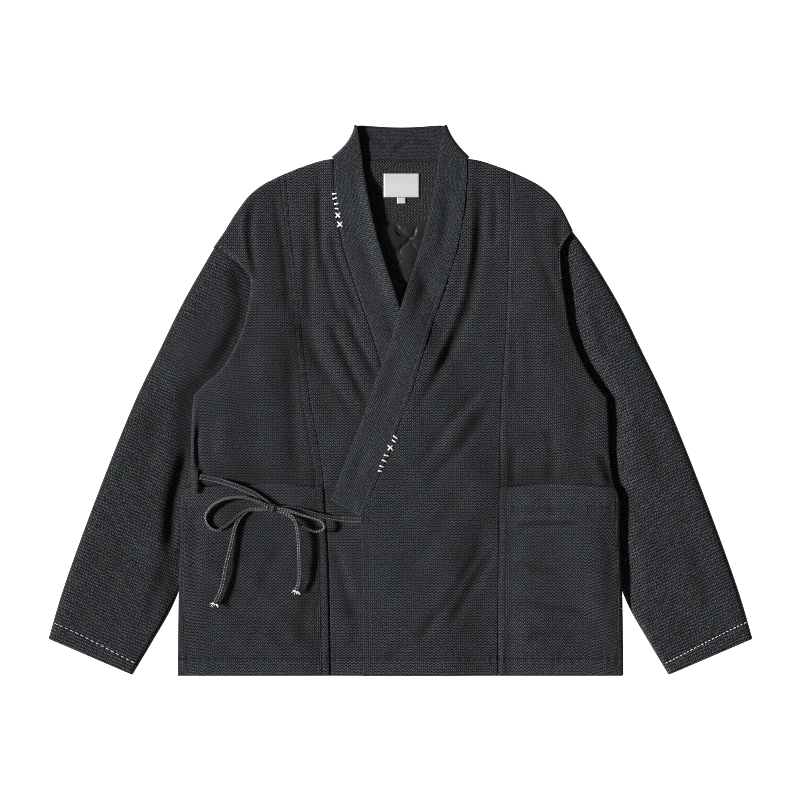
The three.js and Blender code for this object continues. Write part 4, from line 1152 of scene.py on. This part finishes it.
cuffRows = {}
for name, side in sides.items():
    head = sleeveHead[name][:1] + headTuck[name] + sleeveHead[name][3:]
    outerRows = [sleeveHead[name][0]] + crown[name] + sleeveOuter
    panel = Panel(
        pathEdge(flip(head, side, arm["headGap"])),
        pathEdge(flip([sleeveOuter[-1], sleeveInner[-1]], side, arm["seamGap"])),
        pathEdge(flip(outerRows, side, arm["seamGap"])), pathEdge(flip(sleeveInner, side, arm["seamGap"])),
    )
    us, vs = stops(arm["across"], 1.2, 3.2, 1.2, 9, 9), stops(arm["length"], 2.0, 3.4, 1.0, 12, 24)
    u, v = np.meshgrid(us, vs)
    x, y, top = sleeveUpper(panel, name, u, v)
    floor = sleeveTop(x, y, name) * arm["edgeRise"] * sleeveRoll(u, sleeve["roll"])
    ix, iy = panel.place(mix(arm["inset"], 1 - arm["inset"], us)[None] + 0 * v, v)
    slit, closing = sleeveTop(ix, iy, name), sleeveRoll(u, edge["roll"])
    innerLow = slit * mix(arm["share"], arm["edgeRise"], closing)
    innerTop = slit * mix(1 - arm["share"], arm["edgeRise"], closing)
    innerTop = np.minimum(innerTop, np.maximum(top - arm["least"], innerLow))
    outer, inner = sleeveRings(x, y, top, floor), sleeveRings(ix, iy, innerTop, innerLow)
    count, size = outer.shape[:2]
    inwards = count * size
    faces = [tubeFaces(count, size), tubeFaces(count, size, inwards)[:, ::-1]]
    k = np.arange(size)
    after = np.roll(k, -1)
    for offset, way in ((0, 1), ((count - 1) * size, -1)):
        faces.append((np.stack([after, k, k + inwards, after + inwards], -1) + offset)[:, ::way])
    points = np.vstack([outer.reshape(-1, 3), inner.reshape(-1, 3)])
    turn = math.radians(arm["lean"] * side)
    c, s = math.cos(turn), math.sin(turn)
    grain = np.stack([points[:, 0] * c + points[:, 1] * s, points[:, 1] * c - points[:, 0] * s], -1)
    # Painted light and shade from bends and folds, painted shade along both long edges, and a paler cuff hem.
    shown = paintedBendLight(x, y, top) + foldTone(folds[f"sleeve_{name}"], x, y)
    shown = shown - 0.45 * bump(np.minimum(u, 1 - u) * arm["across"], 0, 2.4)
    shown = shown + 0.1 * fade((1 - v) * arm["length"], 15, 17)
    if side < 0:  # the lamp would light this edge more than the photo shows
        # Painted shade on this sleeve's outer edge.
        shown = shown - 0.4 * fade(u * arm["across"], 0, 9)
    tone = np.zeros((2 * count, size))
    tone[:count, :len(us)] = shown
    # Painted shade at the cuff and head ends.
    tone = tone - 0.4 * bump(np.tile((1 - vs) * arm["length"], 2), 0, 1.4)[:, None]
    piece = makePiece(f"sleeve_{name}_cloth", points, np.vstack(faces), sleeveCotton, grain, tone.ravel())
    standFor(f"sleeve_{name}")
    t = np.linspace(0.006, 0.994, 300)
    cuffRows[name] = np.stack(sleeveUpper(panel, name, t, 1 - arm["cuffStitch"] / arm["length"] + 0 * t), -1)
print("jacket: sleeves made")

# The collar: one long padded band, turned over at both ends of the back neck.
collar = {
    "wide": 50, "cell": 3.0, "foldSteps": 14, "foldOut": 0.5, "edgeStitch": 1.7, "innerStitch": 5.6, "freeDrop": 0.42,
    "seamDrop": 0.3, "bow": {-1: 7.0, 1: 4.6}, "openLift": {-1: 5.4, 1: 2.4}, "flatTop": 300,
}
acrossStops = stops(collar["wide"], 0.8, collar["cell"], 0.9, 6, 7)
up = np.array([0.0, 0.0, 1.0])


def bandRing(seam, free, height, normal, bend, surface=None):
    # seam and free are one point each; the ring runs along the upper face and back along the lower.
    t = acrossStops[:, None]
    seam, free = np.append(seam, 0.0), np.append(free, 0.0)
    middle = seam * (1 - t) + free * t - np.array([np.sign(seam[0]) * bend * 4, 0, 0]) * t * (1 - t)
    wide = np.linalg.norm(free - seam)
    fromSeam, fromFree = acrossStops * wide, (1 - acrossStops) * wide
    half = band["thick"] / 2 * (1 - collar["freeDrop"] * roll(fromFree, 5.5) - collar["seamDrop"] * roll(fromSeam, 3))
    top = half if surface is None else half + surface(middle[:, 0], middle[:, 1], fromSeam, fromFree)
    middle = middle + (height(middle[:, 0], middle[:, 1]) if callable(height) else height + 0 * t[:, 0])[:, None] * up
    return np.vstack([middle + normal * top[:, None], (middle - normal * half[:, None])[::-1]])


def stepped(rows, side, skip=0):
    # Both edges are stepped span by span, so that rings stay square across the band.
    rows = np.array(rows, float) * [side, 1, side, 1]
    seamPath, freePath = smoothPath(rows[:, :2]), smoothPath(rows[:, 2:])
    count = round(lengths(seamPath)[-1] / collar["cell"]) + skip
    at, marks = np.linspace(0, len(seamPath) - 1, count)[skip:], np.arange(len(seamPath))
    return [np.stack([np.interp(at, marks, column) for column in path.T], -1) for path in (seamPath, freePath)]


def bandSide(side):
    name = "under" if side < 0 else "over"
    bow, rings = collar["bow"][side], []

    def frontRelief(x, y, fromSeam, fromFree):
        wave = ripple(x, y, drape["collar"]) * smooth(np.minimum(fromSeam, fromFree), 1, 12)
        groove = bump(fromSeam, collar["edgeStitch"], 0.8)
        if side > 0:
            groove = groove + bump(fromSeam, collar["innerStitch"], 0.9) * fade(y, 140, 160)
        tucks = 0.14 * np.sin(y / 1.9) * bump(fromSeam, 2, 7)
        crease = foldDepth(folds[f"collar_{name}"], x, y) * smooth(fromFree, 1, 8)
        return wave - 0.6 * pits(y) * groove + tucks + crease

    for seam, free in zip(*stepped(bandFront[::-1] + [bandTurn[0]], side)):
        openShare = smooth(seam[1], 96, 140) * fade(seam[1], 280, 306)

        def height(x, y):
            low = overBandBase(x, y) if side > 0 else bandLow(x, y)
            return low + band["thick"] / 2 + collar["openLift"][side] * openShare * smooth(acrossStops, 0.45, 1.0)

        rings.append(bandRing(seam, free, height, up, bow * smooth(free[1], 306, 338), frontRelief))
    axis = np.array(bandTurn[1]) * [side, 1, side, 1]
    way = (axis[2:] - axis[:2]) / np.linalg.norm(axis[2:] - axis[:2])
    outward = np.array([side * abs(way[1]), abs(way[0])])
    middle = band["base"] + band["thick"] / 2 - band["fold"]
    for a in np.linspace(0, math.pi, collar["foldSteps"] + 1):
        normal = np.append(outward, 0) * math.sin(a) + up * math.cos(a)
        shift = outward * band["fold"] * collar["foldOut"] * math.sin(a)
        rings.append(bandRing(axis[:2] + shift, axis[2:] + shift, middle + band["fold"] * math.cos(a), normal, bow))
    for seam, free in zip(*stepped([bandTurn[1]] + bandBack, side, 1)):
        rings.append(bandRing(seam, free, band["thick"] / 2, -up, bow * smooth(abs(free[0]), 44, 58)))
    return np.array(rings)


underRings, overRings = bandSide(-1), bandSide(1)
rings = np.concatenate([underRings, overRings[::-1][1:]])
# Where the band lies face down across the back neck, its visible face is the ring's second half.
size = len(acrossStops)
shown = rings[:, size:]
sx, sy = shown[..., 0], shown[..., 1]
insideNeck = (sy > 320) & (np.abs(sx) < 90) & (shown[..., 2] > 4.0) & (shown[..., 2] < 7.5)
crease = foldDepth(folds["collar_back"], sx, sy) + 0.5 * ripple(sx, sy, drape["collar"])
shown[..., 2] += np.where(insideNeck, crease * smooth(sy, 322, 332) * fade(sy, 358, 368), 0)
runs = np.vstack([np.zeros(rings.shape[1]), np.cumsum(np.linalg.norm(np.diff(rings, axis=0), axis=2), axis=0)])
wides = np.linalg.norm(rings[:, size - 1] - rings[:, 0], axis=1)[:, None]
fromSeam = wides * np.concatenate([acrossStops, acrossStops[::-1]])
grain = np.stack([fromSeam, runs - runs[len(underRings) - 1]], -1)
# Painted tone on the band: a little paler overall, with painted shade along its free edge and its seam.
pale = 0.16 - 0.5 * bump(wides - fromSeam, 0, 2.2) - 0.45 * bump(fromSeam, 0, 1.3)
face = rings[:, :size]
# Painted light and shade from the bends of the band's face.
pale[:, :size] += paintedBendLight(face[..., 0], face[..., 1], face[..., 2]) * (face[..., 1] < collar["flatTop"])
# Painted shade inside the neck, with painted light and shade from its creases and bends.
neckShade = foldTone(folds["collar_back"], sx, sy) + paintedBendLight(sx, sy, shown[..., 2]) - 0.24 - 0.5 * bump(sy, 322.6, 1.5)
pale[:, size:] += neckShade * insideNeck
collarPiece = makeSweep("collar_cloth", rings, collarCotton, grain, pale)
standFor("collar")
for block, at, highest in (
    (underRings, collar["edgeStitch"], math.inf), (overRings, collar["edgeStitch"], math.inf),
    (overRings, collar["innerStitch"], 150),
):
    column = int(np.argmin(np.abs(acrossStops * 48 - at)))
    row = [r[column] for r in block if r[0][1] < collar["flatTop"] and r[column][1] < highest]
    stitchLines.append(np.array(row) + [0, 0, front["threadLift"]])
print("jacket: collar made")

# Inside the neck: the facing, the quilted lining below it, the label and its size tab.
inside = {
    "low": 4.5, "facing": 6.4, "facingTall": 82, "lining": 6.3, "quilt": 2.4, "wide": 52, "tall": 63, "x": 9,
    "y": 217.7, "least": 0.5,
}
label = {"width": 48, "height": 32, "x": 1.3, "y": 289, "thick": 0.7, "tabWide": 12, "tabHigh": 8, "gap": 0.3}


def neckShape(rows):
    (ax, ay), (bx, by) = rows[0], rows[-1]
    return Panel(
        pathEdge([[-ax, ay], [ax, ay]]), pathEdge([[-bx, by], [bx, by]]),
        pathEdge(flip(rows, -1)), pathEdge(flip(rows, 1)),
    )


u, v = np.meshgrid(stops(110, 2, 3, 2), stops(inside["facingTall"], 1.2, 2.6, 1.2, 5, 5))
x, y = neckShape([[58, 322.2], [45.5, 238.0]]).place(u, v)
fromTop, fromLow = v * inside["facingTall"], (1 - v) * inside["facingTall"]
calm = smooth(np.hypot((x - label["x"]) / 30, (y - label["y"] + 4) / 26), 1.0, 1.5)
z = inside["facing"] + (0.5 * ripple(x, y, drape["collar"]) + 0.25) * calm * smooth(fromTop, 1, 10)
z = z - 0.8 * roll(fromLow, 4) - 0.4 * bump(fromTop, 3.5, 1.2) + 0.25 * np.sin(x / 1.6) * bump(fromLow, 4, 4)
# Painted shade along the facing's top seam and its lower edge.
tone = -0.6 * bump(fromTop, 0, 2.2) - 0.4 * bump(fromLow, 0, 1.5)
facing = makeWall("neck_facing_cloth", x, y, inside["low"] + 0 * z, z, facingCotton, (x, y), tone)
standFor("neck_facing")

# The lining is quilted in diamonds, and creases gather towards each crossing of the quilting.
crossings = [(9, 217.7), (-17, 186.2), (35, 186.2), (9, 154.7), (-17, 249.2), (35, 249.2)]
u, v = np.meshgrid(np.linspace(0, 1, 110), np.linspace(0, 1, 150))
x, y = neckShape([[45.5, 237.8], [39.5, 220], [28, 182], [15, 144], [5, 112]]).place(u, v)
a, b = (x - inside["x"]) / inside["wide"], (y - inside["y"]) / inside["tall"]
quilt = (np.abs(np.sin(math.pi * (a + b)) * np.sin(math.pi * (a - b))) + 0.002) ** 0.42
calm = smooth(np.minimum(u, 1 - u), 0.1, 0.26) * fade(v, 0.6, 0.9) * smooth(v, 0.0, 0.05)
star, shade = np.zeros_like(x), np.zeros_like(x)
for cx, cy in crossings:
    for k in range(7):
        t = math.radians(25 + 51 * k + 1.7 * cx)
        out = (x - cx) * math.cos(t) + (y - cy) * math.sin(t)
        off = (y - cy) * math.cos(t) - (x - cx) * math.sin(t) + 2.2 * np.sin(out / 4.5 + k)
        reach = smooth(out, 0, 2) * fade(out, 10, 20 + 1.5 * k)
        star = star + (0.2 if k % 2 else -2.4) * bump(off, 0, 1.7) * reach
        shade = shade - (0 if k % 2 else 1.2) * bump(off, -0.2, 2.0) * reach
z = inside["lining"] + (inside["quilt"] * quilt - 0.5 + star + ripple(x, y, drape["collar"]) * 0.9) * calm
z = np.maximum(z, inside["low"] + inside["least"])
shade = np.maximum(shade, -0.85) * calm
lining = makeWall("quilted_lining_cloth", x, y, inside["low"] + 0 * z, z, taffeta, (x, y), shade)
standFor("lining")


def patch(name, node, cx, cy, wide, high, curl):
    # A small woven patch with thin rolled edges that lies on the facing.
    across, down = (np.linspace(0, 1, max(8, round(size / 1.4))) for size in (wide, high))
    u, v = np.meshgrid(across, down)
    x, y = cx + (u - 0.5) * wide, cy + (0.5 - v) * high
    rim = np.minimum.reduce([u * wide, (1 - u) * wide, v * high, (1 - v) * high])
    low = inside["facing"] + label["gap"] + 0.1 + curl * (0.4 + 0.4 * np.sin(u * 4.1 + 0.5)) * smooth(v, 0.2, 1)
    piece = makeWall(name, x, y, low, low + label["thick"] - 0.3 * roll(rim, 1.2), satin, (x, y))
    standFor(node)
    return piece


tabY = label["y"] - (label["height"] + label["tabHigh"]) / 2 - label["gap"]
labelPiece = patch("neck_label_satin", "neck_label", label["x"], label["y"], label["width"], label["height"], 0.25)
sizePiece = patch("size_tab_satin", "size_tab", label["x"], tabY, label["tabWide"], label["tabHigh"], 0.0)
print("jacket: neck made")

# Sewing thread in all the rows of stitches: 2.4 mm stitches, sunk in their grooves.
seamStitch = {"long": 2.4, "gap": 1.0, "arch": 0.1, "wide": 0.7, "thick": 0.4}
starts, ends = zip(*(stitchSpans(row, seamStitch["long"], seamStitch["gap"]) for row in stitchLines))
makeThreads(
    "seam_stitching", np.vstack(starts), np.vstack(ends), seamStitch["arch"], seamStitch["wide"],
    seamStitch["thick"], seamThread,
)
bar = {"pitch": 4, "lift": 0.1, "arch": 0.1, "wide": 0.8, "thick": 0.5}
spans = [[], []]
for pair in rungs:  # bars across the double row of armhole stitching
    count = int(lengths(pair[0])[-1] / bar["pitch"])
    for span, row in zip(spans, pair):
        span.append(along(row, np.linspace(0.02, 0.98, count)) + [0, 0, bar["lift"]])
makeThreads(
    "armhole_bars", np.vstack(spans[0]), np.vstack(spans[1]), bar["arch"], bar["wide"], bar["thick"], paleThread,
)

# Running stitches of thick white thread along the cuffs, and white tacks and crosses on the collar's seams.
cuffStitch = {
    "under": {"long": 5.2, "gap": 2.6, "wide": 1.0, "thick": 0.7},
    "over": {"long": 4.0, "gap": 1.5, "wide": 1.2, "thick": 0.8},
}
for name, s in cuffStitch.items():
    starts, ends = stitchSpans(cuffRows[name] + [0, 0, 0.35], s["long"], s["gap"])
    makeThreads(f"cuff_{name}_stitching", starts, ends, 0.2, s["wide"], s["thick"], whiteThread)

trees = []
for name in ("collar_cloth", "front_under_centre_cloth", "front_over_centre_cloth"):
    mesh = bpy.data.objects[name].data
    trees.append(BVHTree.FromPolygons([v.co.copy() for v in mesh.vertices], [tuple(p.vertices) for p in mesh.polygons]))


def clothTop(x, y):
    # The highest point of the cloth within 1.5 mm, so that a thread over a seam's gap isn't lost in it.
    spots = [(x + dx, y + dy) for dx in (-1.5, 0, 1.5) for dy in (-1.5, 0, 1.5)]
    hits = [tree.ray_cast((px / 1000, py / 1000, 1), (0, 0, -1))[0] for px, py in spots for tree in trees]
    return max(hit.z * 1000 for hit in hits if hit is not None)


# Columns: picture x, picture y, length in pixels, angle in degrees; a cross has two arms at 45 degrees.
tacks = [
    [333.9, 193.5, 5.7, 5], [334.4, 198.1, 5.7, 17], [335.7, 203.5, 5.3, 12], [336.0, 208.4, 4.7, -5],
    [337.2, 214.9, 7.6, 45], [337.2, 214.9, 7.6, -45], [339.1, 224.0, 8.0, 45], [339.1, 224.0, 8.0, -45],
    [394.4, 436.6, 6.0, -36], [393.1, 440.5, 5.5, -32], [389.5, 447.1, 7.8, 45], [389.5, 447.1, 7.8, -45],
    [385.6, 454.9, 5.7, -12], [383.6, 460.3, 6.1, -23], [380.9, 465.8, 5.1, -17], [379.4, 470.5, 5.1, -9],
]
tack = {"lift": 0.25, "strand": 0.5, "arch": 0.35, "wide": 1.1, "thick": 0.8}
starts, ends = [], []
for px, py, long, angle in tacks:
    cx, cy = toMm(px, py)
    reach, a = long * view["mmPerPixel"] / 2, math.radians(angle)
    for shift in (-tack["strand"], tack["strand"]):  # two strands side by side make each tack
        for way, spots in ((-1, starts), (1, ends)):
            sx = cx + way * reach * math.cos(a) - math.sin(a) * shift
            sy = cy + way * reach * math.sin(a) + math.cos(a) * shift
            spots.append([sx, sy, clothTop(sx, sy) + tack["lift"]])
makeThreads("white_tacks", starts, ends, tack["arch"], tack["wide"], tack["thick"], whiteThread)
print("jacket: stitches made")

# Studio: a pale table lit from below, so that shadows on it wash out; a low lamp from the left and a soft fill.
table = {"half": 4.0, "base": 0.15, "glow": 1.0}
bpy.ops.object.select_all(action="DESELECT")
bpy.ops.mesh.primitive_plane_add(size=table["half"] * 2, location=(0, 0, 0))
floorPiece = bpy.context.object
floorPiece.name = "light_table"
floorMaterial, _, shader = newMaterial("opal_glass", 0.9, 0.0, 0.1)
shader.inputs["Base Color"].default_value = (table["base"],) * 3 + (1,)
shader.inputs["Emission Color"].default_value = (1, 1, 1, 1)
shader.inputs["Emission Strength"].default_value = table["glow"]
floorPiece.data.materials.append(floorMaterial)

lamp = {"elevation": 28, "strength": 5.9, "soft": 7, "fill": 0.08, "sky": (0.97, 0.99, 1.0, 1)}
sun = bpy.data.lights.new("low_lamp", "SUN")
sun.energy = lamp["strength"]
sun.angle = math.radians(lamp["soft"])
sunObject = bpy.data.objects.new("low_lamp", sun)
sunObject.rotation_euler = (0, -math.radians(90 - lamp["elevation"]), 0)
scene.collection.objects.link(sunObject)
world = bpy.data.worlds.new("studio")
world.use_nodes = True
world.node_tree.nodes["Background"].inputs["Color"].default_value = lamp["sky"]
world.node_tree.nodes["Background"].inputs["Strength"].default_value = lamp["fill"]
scene.world = world


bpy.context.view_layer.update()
total = sum(len(o.data.polygons) for o in scene.objects if o.type == "MESH")
print("jacket: done,", total, "faces")
